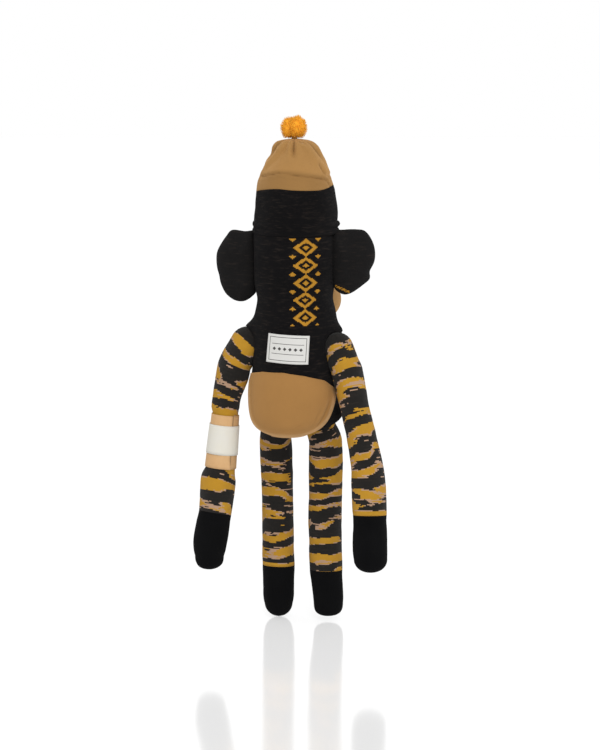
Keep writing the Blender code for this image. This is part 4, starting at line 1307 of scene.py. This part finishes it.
def hat_place(turn, height):
    """A place on the hat's cloth, and how much painted shade falls there, along its creases and below its
    seam crease.
    """
    share = (height - HAT_FOOT) / (HAT_TOP - HAT_FOOT)
    _, right, left = at_key(HAT_ROWS, share)
    out = turn_vector(turn)
    mixed = (1 + out.x) / 2
    radius = HAT_RADIUS * (right * (1 - mixed) + left * mixed)
    deep, line = crease_depth(CROWN_CREASES, turn, share, HAT_RADIUS * 0.8, HAT_TOP - HAT_FOOT)
    slack = smooth_step(0.45, 0.62, share)
    swell = 0.7 * lumps(AXIS + out * radius + UP * height, 42.0, 110.0)
    radius += swell * MM * (0.4 + 0.7 * slack) * min(1.0, radius / 0.012)
    pleats = math.sin(math.radians(13 * turn) + 2.0) + 0.5 * math.sin(math.radians(21 * turn) + 1.0)
    gather = 0.7 * MM * smooth_step(0.78, 0.97, share) * pleats * min(1.0, radius / 0.012)
    radius += gather - 1.25 * deep * min(1.0, radius / 0.010)
    # The cloth above the seam crease hangs over it a little.
    radius += 0.5 * MM * smooth_step(0.58, 0.63, share) * (1 - smooth_step(0.70, 0.85, share))
    # Painted shade below the seam crease, kept with the creases' painted shade
    seam = CROWN_SEAM_SHARE + CROWN_SEAM_RISE * bell(turn_gap(turn, 8.0), 55.0)
    shade = CROWN_LOW_SHADE * (1 - smooth_step(seam, seam + 0.05, share))
    return AXIS + out * max(radius, 1.2 * MM) + UP * height, max(line, shade)


def crown_line(turn):
    return box_of("hat_crown")[0].z + at_key(CROWN_LINE_ROWS, turn_gap(turn))[1] * MM


def hat_skin(name, heights_at, shares, made, end=None):
    """A stretch of the hat between two heights that may change round it."""
    rings = []
    creases = []
    for share in shares:
        ring = []
        for turn in HAT_TURNS:
            low, high = heights_at(turn)
            point, line = hat_place(turn, low + (high - low) * share)
            ring.append(point)
            creases.append(line)
        rings.append(ring)
    courses = [length / FINE_COURSE for length in run_lengths([ring[0] for ring in rings])]
    skin = ring_surface(name, rings, courses, HAT_WALES, made, None, end)
    # Painted shade: each vertex's crease shade, and 0.6 at the gathered top
    store(skin, "painted_crease_shade", creases + ([] if end is None else [0.6]))
    thicken(skin, HAT_THICK, -1.0)
    return skin


def build_hat():
    shares = [1 - (1 - i / CROWN_ROWS) ** 1.35 for i in range(CROWN_ROWS + 1)]
    crown = hat_skin("hat_crown_cloth", lambda turn: (crown_line(turn), HAT_TOP), shares,
                     tan_knit("hat_tan_knit", HAT_WALES, HAT_TAN), AXIS + UP * (HAT_TOP + 0.1 * MM))
    dress(crown, "head", "tan_knit", "hat_crown")
    band = hat_skin("hat_band_cloth", lambda turn: (HAT_FOOT + 5 * MM, crown_line(turn)),
                    [i / BAND_ROWS for i in range(BAND_ROWS + 1)],
                    black_knit("hat_black_knit", HAT_WALES, PLAIN_STREAK_LEAST))
    dress(band, "head", "black_knit", "hat_band")
    brim = build_brim()


def build_brim():
    """The hem, rolled up in two soft turns that bulge unevenly."""
    work = Work()
    tall = BRIM_HIGH.z - BRIM_LOW.z
    rows = []
    for out_mm, share in smooth_rows(BRIM_PROFILE + BRIM_PROFILE[:1], 3)[:-1]:
        ring = []
        for turn in HAT_TURNS:
            out = turn_vector(turn)
            bulge = 0.75 + 0.45 * noise.noise((out * 1.7 + UP * share) * 1.6)
            bulge += 0.35 * bell(turn_gap(turn, 84.0), 16.0) + 1.15 * bell(turn_gap(turn, -96.0), 16.0)
            height = HAT_FOOT - BRIM_DROP + 0.88 * tall * share
            height += 0.7 * MM * noise.noise(out * 2.3 + UP * 5.0)
            cloth, _ = hat_place(turn, max(height, HAT_FOOT + 1 * MM))
            reach = (cloth - AXIS).dot(out) + out_mm * bulge * MM
            ring.append(AXIS + out * reach + UP * height)
        rows.append(work.row(ring))
    work.grid(rows + rows[:1], lambda i, j: (j / HAT_SEGMENTS * HAT_WALES, i * 0.9))
    brim = work.piece("hat_rolled_brim", black_knit("brim_black_knit", HAT_WALES, PLAIN_STREAK_LEAST), True)
    dress(brim, "head", "black_knit", "hat_brim")
    return brim


# Pompom and its tie

STRAND_COUNT = 2300
STRAND_RADIUS = 0.17 * MM
STRAND_SHARES = (0.35, 0.75, 1.0)
STRAND_WIDTHS = (1.0, 1.1, 0.45)
TIE_RADIUS = 2.15 * MM
TIE_YARN = 0.42 * MM
TIE_TALL = 1.4 * MM
TIE_RISE = 0.7 * MM
TIE_TURNS = 3
TIE_STEPS = 66
POMPOM_LIFT = 0.35 * MM
POMPOM_SLOPE = math.tan(math.radians(13.0))
POMPOM_FOOT = 0.10
POMPOM_CLEAR = 0.55 * MM
POMPOM_CORE = 0.80
# (out towards -X, towards +Y, up from the pompom solid's middle, level radius, upright radius), in mm
POMPOM_LOBES = ((2.8, 0.3, -0.8, 9.4, 11.2), (-5.4, -0.3, -1.6, 7.9, 10.6))


def wool_material():
    g = Finish("pompom_wool", 0.88, 0.2, 0.25, POMPOM_GOLD)
    pick, along, _ = g.stitches()
    # Painted shade: each strand darker towards its root, deep in the pompom; each strand's tone also differs
    # at random
    colour = g.mix(g.ramp(along, 0.25, 1.0) * (pick * 0.5 + 0.6), POMPOM_ROOT_SHADE, POMPOM_GOLD)
    return g.look(colour, g.noise(g.spot(), 1500.0, 2.0, 0.6), 0.3, 0.1)


def build_pompom():
    """Two lobes of short strands that spring from a middle, clear of the tie that they tilt on."""
    draw = random.Random(5)
    middle = node_middle("pompom")
    pivot = joint_place("pompom_tilt")
    clear = math.hypot(TIE_RADIUS + TIE_YARN, TIE_RISE + TIE_TALL / 2 + TIE_YARN) + POMPOM_CLEAR

    def lifted(spot):
        """The spot, or the nearest one that clears the hat and the tie when the pompom tilts."""
        least = pivot.z + POMPOM_LIFT + abs(spot.y - pivot.y) * POMPOM_SLOPE
        spot = Vector((spot.x, spot.y, max(spot.z, least)))
        away = spot - pivot
        return spot if away.length > clear else pivot + away.normalized() * clear

    work = Work()
    total = sum(lobe[3] ** 2 for lobe in POMPOM_LOBES)
    for away, back, up, radius, tall in POMPOM_LOBES:
        centre = middle + Vector((-away, back, up)) * MM
        reach = radius * MM
        for _ in range(int(STRAND_COUNT * radius ** 2 / total)):
            rise = draw.uniform(-1.0, 1.0)
            spin = draw.uniform(0.0, math.tau)
            level = math.sqrt(1 - rise * rise)
            out = Vector((level * math.cos(spin), level * math.sin(spin), rise))
            side = out.orthogonal().normalized()
            other = out.cross(side)
            sway = (side * draw.uniform(-1, 1) + other * draw.uniform(-1, 1)) * reach * 0.12
            tip_reach = reach * (1.0 + 0.09 * noise.noise(out * 2.2) + draw.uniform(-0.05, 0.05))
            pick = draw.random()
            wide = 1 + POMPOM_FOOT * max(-rise, 0.0) ** 2
            spread = Vector((wide, wide, tall / radius))
            rows = []
            for share, width in zip(STRAND_SHARES, STRAND_WIDTHS):
                spot = lifted(centre + (out * tip_reach * share + sway * share ** 2) * spread)
                rows.append(work.row(spot + between(side, other, math.tau * k / 3) * STRAND_RADIUS * width
                                     for k in range(3)))
            work.grid(rows, lambda i, j: (pick, STRAND_SHARES[i]))
            work.face(rows[0][::-1], [(pick, STRAND_SHARES[0])] * 3)
            work.face(rows[2], [(pick, 1.0)] * 3)
        core = bmesh.ops.create_icosphere(work.mesh, subdivisions=3, radius=reach * POMPOM_CORE,
                                          matrix=Matrix.Translation(centre))
        for vertex in core["verts"]:
            swell = 1 + 0.12 * noise.noise(vertex.co * 420.0)
            vertex.co = lifted(centre + (vertex.co - centre) * spread * swell)
            for loop in vertex.link_loops:
                loop[work.layer].uv = (0.3, 0.62)
    dress(work.piece("gold_pompom", wool_material()), "pompom", "gold_wool", "pompom")


def thread_material(name, colour):
    """Twisted yarn, with its turns read along the strand, and painted shade in the grooves between its
    plies.
    """
    g = Finish(name, 0.8, 0.25, 0.1)
    across, along, _ = g.stitches()
    ply_relief_and_shade = ((across * 3.0 + along) * math.tau).sine()
    lint = g.noise(g.spot(), 1800.0, 2.0, 0.6)
    # Painted shade and highlight: darker in the grooves between the plies and paler on them
    return g.look(g.scale(colour, ply_relief_and_shade * 0.18 + (lint * 0.5 + 0.6)), ply_relief_and_shade, 0.6, 0.15)


def strand_tube(work, points, radius, sides=8, taper=False):
    """A closed yarn tube along points, in a mesh that may hold several."""
    rows = []
    last = len(points) - 1
    lengths = run_lengths(points)
    for i, point in enumerate(points):
        along = (points[min(i + 1, last)] - points[max(i - 1, 0)]).normalized()
        side = square_to(along, side) if i else along.orthogonal().normalized()
        other = along.cross(side)
        size = radius * (math.sqrt(max(1 - (2 * i / last - 1) ** 4, 0.08)) if taper else 1.0)
        ring = [point + between(side, other, math.tau * k / sides) * size for k in range(sides)]
        rows.append(work.row(ring))
    work.grid(rows, lambda i, j: (j / sides, lengths[i] / (radius * 5)))
    for ring in (rows[0][::-1], rows[-1]):
        work.face(ring, [(0.0, 0.0)] * sides)


def build_tie():
    """Brown thread wound round the hat's gathered tip."""
    middle = joint_place("pompom_tilt") + UP * TIE_RISE
    points = []
    for i in range(TIE_STEPS + 1):
        turn = math.tau * TIE_TURNS * i / TIE_STEPS
        up = (i / TIE_STEPS - 0.5) * TIE_TALL
        points.append(middle + Vector((math.cos(turn) * TIE_RADIUS, math.sin(turn) * TIE_RADIUS, up)))
    work = Work()
    strand_tube(work, points, TIE_YARN)
    tie = work.piece("pompom_thread", thread_material("brown_thread_finish", THREAD_BROWN))
    dress(tie, "head", "brown_thread", "pompom_tie")


# Ears: flat stuffed pads sewn to the sides of the head

EAR_HALF_THICK = 14.0 * MM
EAR_WALES = 1200
EAR_FIRST_WALE = 200.0
EAR_RING_SHARES = (1.0, 0.985, 0.955, 0.91, 0.84, 0.74, 0.62, 0.48, 0.34, 0.20, 0.08)
# (outward from the doll's axis, height), in mm, round the outline from the upper root
EAR_OUTLINES = {
    "left": (
        (36.0, 392.0), (48.0, 392.6), (60.5, 393.6), (66.5, 387.5), (72.0, 379.5), (75.5, 371.5),
        (75.8, 361.0), (73.8, 348.5), (70.5, 339.0), (66.0, 331.5), (58.0, 326.0), (49.0, 325.6),
        (41.0, 330.5), (36.5, 337.0), (35.2, 352.0), (35.0, 372.0),
    ),
    "right": (
        (36.0, 393.0), (48.0, 395.6), (60.0, 396.0), (67.5, 394.5), (73.5, 387.0), (76.8, 377.5),
        (76.8, 367.5), (73.6, 358.0), (73.2, 350.5), (66.5, 344.2), (55.5, 336.2), (47.5, 334.2),
        (40.0, 338.0), (36.6, 345.0), (35.4, 358.0), (35.0, 376.0),
    ),
}
# (outward, height, depth) of the notch in each ear's edge, in mm
EAR_NOTCHES = {"left": (74.0, 350.0, 0.8), "right": (74.0, 354.5, 1.6)}
# Ends of the row of ochre stitches on the right ear, in mm, and half its courses
STRAY_FROM = (-40.5, 343.0)
STRAY_TO = (-55.0, 336.5)
STRAY_HALF = 1.3


def ear_stitches(g):
    """A few ochre stitches near the right ear's inner lower edge."""
    across, along, _ = g.stitches()
    wale = across.floor()
    course = along.floor()
    first = STRAY_FROM[0] * MM / WALE + EAR_FIRST_WALE
    last = STRAY_TO[0] * MM / WALE + EAR_FIRST_WALE
    slope = (STRAY_FROM[1] - STRAY_TO[1]) * MM / COURSE / (first - last)
    line = (wale - last) * slope + STRAY_TO[1] * MM / COURSE
    near = abs(course - line) < STRAY_HALF
    broken = g.noise(g.combine(wale, course, 0.0), 0.7, 1.0, 0.5) > 0.42
    return near * (wale > last) * (wale < first) * broken


def build_ear(side):
    sign = 1 if side == "left" else -1
    outline = smooth_rows(EAR_OUTLINES[side], 5, closed=True)
    count = len(outline)
    middle = node_middle(side + "_ear")
    hub = [sum(row) / count for row in zip(*outline)]
    notch_out, notch_up, notch_deep = EAR_NOTCHES[side]

    def spot(place, front, share):
        """A place on the pad's front or back, which bulges between its outlines."""
        thick = EAR_HALF_THICK * (1 - share ** 2.6) ** 0.55
        out, up = [mid + (end - mid) * share for mid, end in zip(hub, place)]
        lump = noise.noise(Vector((out * 0.05, up * 0.05, front * 3.0)))
        fine = noise.noise(Vector((out * 0.16, up * 0.16, front * 9.0)))
        thick += (1.1 * lump + 0.45 * fine) * MM * (1 - share ** 4)
        dent = notch_deep * bell(math.hypot(out - notch_out, up - notch_up), 5.0) * MM
        root = 1 - 0.10 * smooth_step(45.0, 36.0, out)
        return Vector((AXIS.x + sign * (out * MM - dent), middle.y + front * thick * root, up * MM))

    def stitch(vertex):
        return ((vertex.co.x - AXIS.x) / WALE + EAR_FIRST_WALE, vertex.co.z / COURSE)

    work = Work()
    rings = {}
    for front in (-1, 1):
        shares = EAR_RING_SHARES if front < 0 else EAR_RING_SHARES[1:]
        rings[front] = [work.row(spot(place, front, share) for place in outline) for share in shares]
    for front in (-1, 1):
        pole = work.row([spot(hub, front, 0.0)])
        rows = rings[front] if front < 0 else rings[-1][:1] + rings[front]
        work.grid(rows, lambda i, j: stitch(rows[i][j % count]))
        for j in range(count):
            corners = [rows[-1][j], rows[-1][(j + 1) % count]] + pole
            work.face(corners, [stitch(corner) for corner in corners])
    motif = ear_stitches if side == "right" else None
    made = black_knit(side + "_ear_knit", EAR_WALES, 0.52, motif, EAR_YARN)
    ear = work.piece(side + "_ear_pad", made, True)
    dress(ear, None, "black_knit", side + "_ear", side + "_ear_stuffing", fill=0.8)
    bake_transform(ear)


# Face: muzzle with a stitched mouth, and button eyes

MUZZLE_SEGMENTS = 96
MUZZLE_RINGS = 40
MUZZLE_SAG = 9.0 * MM
MUZZLE_LOW, MUZZLE_HIGH = box_of("muzzle_skin")
MUZZLE_SIZE = MUZZLE_HIGH - MUZZLE_LOW
MUZZLE_HALF = (MUZZLE_SIZE + UP * MUZZLE_SAG) / 2
MUZZLE_MIDDLE = MUZZLE_HIGH - MUZZLE_HALF
MOUTH_HALF_DEG = 52.0
MOUTH_DEEP = 1.3 * MM
MOUTH_WIDE = 1.5 * MM
STITCH_COUNT = 11
STITCH_POINTS = 8
STITCH_RADIUS = 0.75 * MM
EYE_STITCH_RADIUS = 0.42 * MM
TURNED_SEGMENTS = 48
BUTTON_SHARES = (
    (0.55, 0.00), (0.93, 0.04), (1.00, 0.26), (1.00, 0.55), (0.96, 0.82), (0.87, 0.97), (0.78, 0.98),
    (0.70, 0.86), (0.64, 0.66), (0.52, 0.60), (0.20, 0.60),
)
FELT_SHARES = ((0.90, 0.00), (0.985, 0.10), (1.00, 0.45), (0.985, 0.85), (0.95, 1.00), (0.5, 1.03))


def mouth_rise(turn_deg):
    """The mouth's rise at a turn, read from the stitched yarn's own height."""
    low, high = box_of("mouth_stitch")
    lift = (high.z - low.z) * (turn_deg / MOUTH_HALF_DEG) ** 2
    share = (low.z + 0.8 * MM + lift - MUZZLE_MIDDLE.z) / MUZZLE_HALF.z
    return math.degrees(math.asin(max(-1.0, min(1.0, share))))


def muzzle_place(turn_deg, rise_deg, proud=0.0):
    """A place on the muzzle, at a turn from the front and a rise from the level."""
    turn = math.radians(turn_deg)
    rise = math.radians(rise_deg)
    out = Vector((math.sin(turn) * math.cos(rise), -math.cos(turn) * math.cos(rise), math.sin(rise)))
    spot = out * MUZZLE_HALF
    gap = (rise - math.radians(mouth_rise(turn_deg))) * MUZZLE_HALF.z
    relief = 0.35 * MM * bell(abs(gap) - 3.5 * MM, 2.2 * MM) - MOUTH_DEEP * bell(gap, MOUTH_WIDE)
    relief *= 1 - smooth_step(48.0, 62.0, abs(turn_deg))
    lump = noise.noise((MUZZLE_MIDDLE + spot) * 45.0)
    return MUZZLE_MIDDLE + spot * (1 + (lump * 0.5 * MM + relief + proud) / spot.length)


def build_muzzle():
    turns = [turn_gap(360.0 * j / MUZZLE_SEGMENTS) for j in range(MUZZLE_SEGMENTS)]
    rises = [-90.0 + 180.0 * i / MUZZLE_RINGS for i in range(1, MUZZLE_RINGS)]
    rings = [[muzzle_place(turn, rise) for turn in turns] for rise in rises]
    courses = [math.radians(rise) * MUZZLE_SIZE.z / 2 / FINE_COURSE for rise in rises]
    painted_crease_shade = []
    for rise in rises:
        for turn in turns:
            gap = math.radians(rise - mouth_rise(turn)) * MUZZLE_SIZE.z / 2
            # Painted shade along the mouth's groove
            painted_crease_shade.append(0.7 * bell(gap, 1.0 * MM) * (1 - smooth_step(48.0, 60.0, abs(turn))))
    wales = round(math.tau * MUZZLE_SIZE.x / 2 / FINE_WALE)
    made = tan_knit("muzzle_tan_knit", wales, MUZZLE_TAN)
    muzzle = ring_surface("muzzle_pad", rings, courses, wales, made,
                          muzzle_place(0.0, -90.0), muzzle_place(0.0, 90.0))
    store(muzzle, "painted_crease_shade", painted_crease_shade + [0.0, 0.0])
    dress(muzzle, "head", "tan_knit", "muzzle_skin", "muzzle_stuffing", fill=0.9)


def build_mouth():
    """Running stitches of black yarn that dip into the muzzle at both ends."""
    work = Work()
    pitch = 2 * MOUTH_HALF_DEG / STITCH_COUNT
    for i in range(STITCH_COUNT):
        start = -MOUTH_HALF_DEG + pitch * (i + 0.08)
        points = []
        for k in range(STITCH_POINTS + 1):
            share = k / STITCH_POINTS
            turn = start + pitch * 0.84 * share
            lift = (math.sin(math.pi * share) - 0.35) * 1.3 * MM + MOUTH_DEEP * 0.4
            points.append(muzzle_place(turn, mouth_rise(turn), lift))
        strand_tube(work, points, STITCH_RADIUS, taper=True)
    mouth = work.piece("mouth_yarn", thread_material("black_yarn_finish", BLACK_YARN))
    dress(mouth, "head", "black_yarn", "mouth_stitch")


def felt_material():
    g = Finish("cream_felt_finish", 0.95, 0.1, 0.3)
    where = g.spot()
    fibres = g.noise(where, 1400.0, 4.0, 0.75)
    tone = fibres * 0.6 + g.noise(where, 160.0, 2.0, 0.5) * 0.4
    return g.look(g.mix(tone, FELT_SHADE, FELT_CREAM), fibres, 0.6, 0.25)


def button_material():
    """Black horn-like plastic, a little cloudy, with fine wear that dulls its gloss."""
    g = Finish("black_button_finish", 0.22, 0.5)
    where = g.spot()
    cloud = g.ramp(g.noise(where, 260.0, 3.0, 0.6), 0.45, 0.75, 0.0, 0.5)
    wear = g.noise(where, 1800.0, 2.0, 0.7)
    g.feed(g.inputs["Roughness"], g.ramp(wear, 0.35, 0.8, 0.16, 0.42))
    return g.look(g.mix(cloud, BUTTON_BLACK, BUTTON_GREY))


def build_eye(side, felt, button, yarn):
    """A felt disc, a button turned from rows of shares, and two crossed stitches that hold it."""
    middle = node_middle(side + "_eye_button")
    aim = Vector((middle.x - AXIS.x, middle.y - AXIS.y, 0.0)).normalized()
    across = aim.cross(UP).normalized()
    upright = across.cross(aim)
    for kind, name, shares, made, slot in (("felt", "disc", FELT_SHARES, felt, "cream_felt"),
                                           ("button", "round", BUTTON_SHARES, button, "black_button")):
        node = side + "_eye_" + kind
        low, high = box_of(node)
        radius = (high.z - low.z) / 2
        start, end = reaches(node, middle, aim)
        rings = []
        for out, ahead in shares:
            hub = middle + aim * (start + ahead * (end - start))
            rings.append([hub + between(across, upright, math.tau * j / TURNED_SEGMENTS) * out * radius
                          for j in range(TURNED_SEGMENTS)])
        first, last = [middle + aim * (start + row[1] * (end - start)) for row in (shares[0], shares[-1])]
        eye = ring_surface(side + "_eye_" + name, rings, range(len(shares)), TURNED_SEGMENTS, made,
                           first, last)
        dress(eye, "head", slot, node)
    work = Work()
    for lean in (math.pi / 4, -math.pi / 4):
        points = []
        for k in range(STITCH_POINTS + 1):
            share = k / STITCH_POINTS
            lift = (math.sin(math.pi * share) * 0.9 - 0.2) * MM
            points.append(last + between(across, UP, lean) * radius * 0.34 * (2 * share - 1) + aim * lift)
        strand_tube(work, points, EYE_STITCH_RADIUS, taper=True)
    dress(work.piece(side + "_eye_stitches", yarn), "head", "black_yarn")


def build_eyes():
    felt = felt_material()
    button = button_material()
    yarn = thread_material("eye_yarn_finish", EYE_YARN)
    for side in ("left", "right"):
        build_eye(side, felt, button, yarn)


# Stage


def add_to_scene(name, data, place, forward):
    thing = bpy.data.objects.new(name, data)
    thing.location = place
    thing.rotation_euler = forward.to_track_quat("-Z", "Y").to_euler()
    bpy.context.scene.collection.objects.link(thing)
    return thing


def build_camera():
    back = turn_vector(VIEW_TURN_DEG)
    place = AXIS + back * CAMERA_DISTANCE + UP.cross(back) * CAMERA_SIDE + UP * CAMERA_HEIGHT
    drop = math.radians(CAMERA_DROP_DEG)
    data = bpy.data.cameras.new("camera")
    data.lens = LENS
    data.sensor_width = SENSOR
    bpy.context.scene.camera = add_to_scene("camera", data, place, -between(back, UP, drop))


def seen_ray(g):
    """1 for a ray from the camera or through gloss or glass, or else 0."""
    path = g.named("ShaderNodeLightPath")
    return path["Is Camera Ray"] | path["Is Glossy Ray"] | path["Is Transmission Ray"]


def build_lights():
    world = bpy.data.worlds.new("studio")
    world.use_nodes = True
    bpy.context.scene.world = world
    g = Graph(world.node_tree)
    sky = world.node_tree.nodes["Background"].inputs
    g.feed(sky["Color"], WHITE)
    g.feed(sky["Strength"], g.ramp(seen_ray(g), 0.0, 1.0, WORLD_LEVEL, 1.0))
    lamp = bpy.data.lights.new("key", "AREA")
    lamp.energy = KEY_POWER
    lamp.size = KEY_SIZE
    key = add_to_scene("key", lamp, KEY_PLACE, KEY_AIM - KEY_PLACE)
    key.visible_camera = False
    key.visible_glossy = False


def build_floor():
    """A pale glossy floor that renders white where nothing stands or shades it."""
    made = bpy.data.materials.new("floor")
    made.use_nodes = True
    g = Graph(made.node_tree)
    nodes = made.node_tree.nodes
    nodes.remove(nodes["Principled BSDF"])

    def grey(level):
        return (level, level, level, 1.0)

    glow = g.add("ShaderNodeEmission", {"Strength": FLOOR_WHITE - FLOOR_GLOSS - FLOOR_SHADE * FLOOR_LIGHT})
    shade = g.add("ShaderNodeBsdfDiffuse", {"Color": grey(FLOOR_SHADE)})
    gloss = g.add("ShaderNodeBsdfGlossy", {"Color": grey(FLOOR_GLOSS), "Roughness": FLOOR_BLUR})
    plain = g.add("ShaderNodeBsdfDiffuse", {"Color": grey(FLOOR_PALE)})
    lit = g.add("ShaderNodeAddShader", {0: glow, 1: shade})
    seen = g.add("ShaderNodeAddShader", {0: lit, 1: gloss})
    either = g.add("ShaderNodeMixShader", {0: seen_ray(g), 1: plain, 2: seen})
    g.feed(nodes["Material Output"].inputs["Surface"], either)
    work = Work()
    corners = [(FLOOR_HALF * x, FLOOR_HALF * y, 0.0) for x, y in ((-1, -1), (1, -1), (1, 1), (-1, 1))]
    work.face(work.row(corners), [corner[:2] for corner in corners])
    work.piece("floor", made)


bpy.context.scene.view_settings.view_transform = "Standard"
build_camera()
build_lights()
build_floor()
build_body()
build_seat()
build_label()
build_sleeve()
build_slip()
for limb_side, limb_squeeze in (("left", SLEEVE.squeeze), ("right", None)):
    build_limb(limb_side, ARM_PARTS, SHOULDER_RADII[limb_side], limb_squeeze)
    build_limb(limb_side, LEG_PARTS, HIP_RADIUS)
build_hat()
build_pompom()
build_tie()
build_muzzle()
build_mouth()
build_eyes()
for ear_side in ("left", "right"):
    build_ear(ear_side)
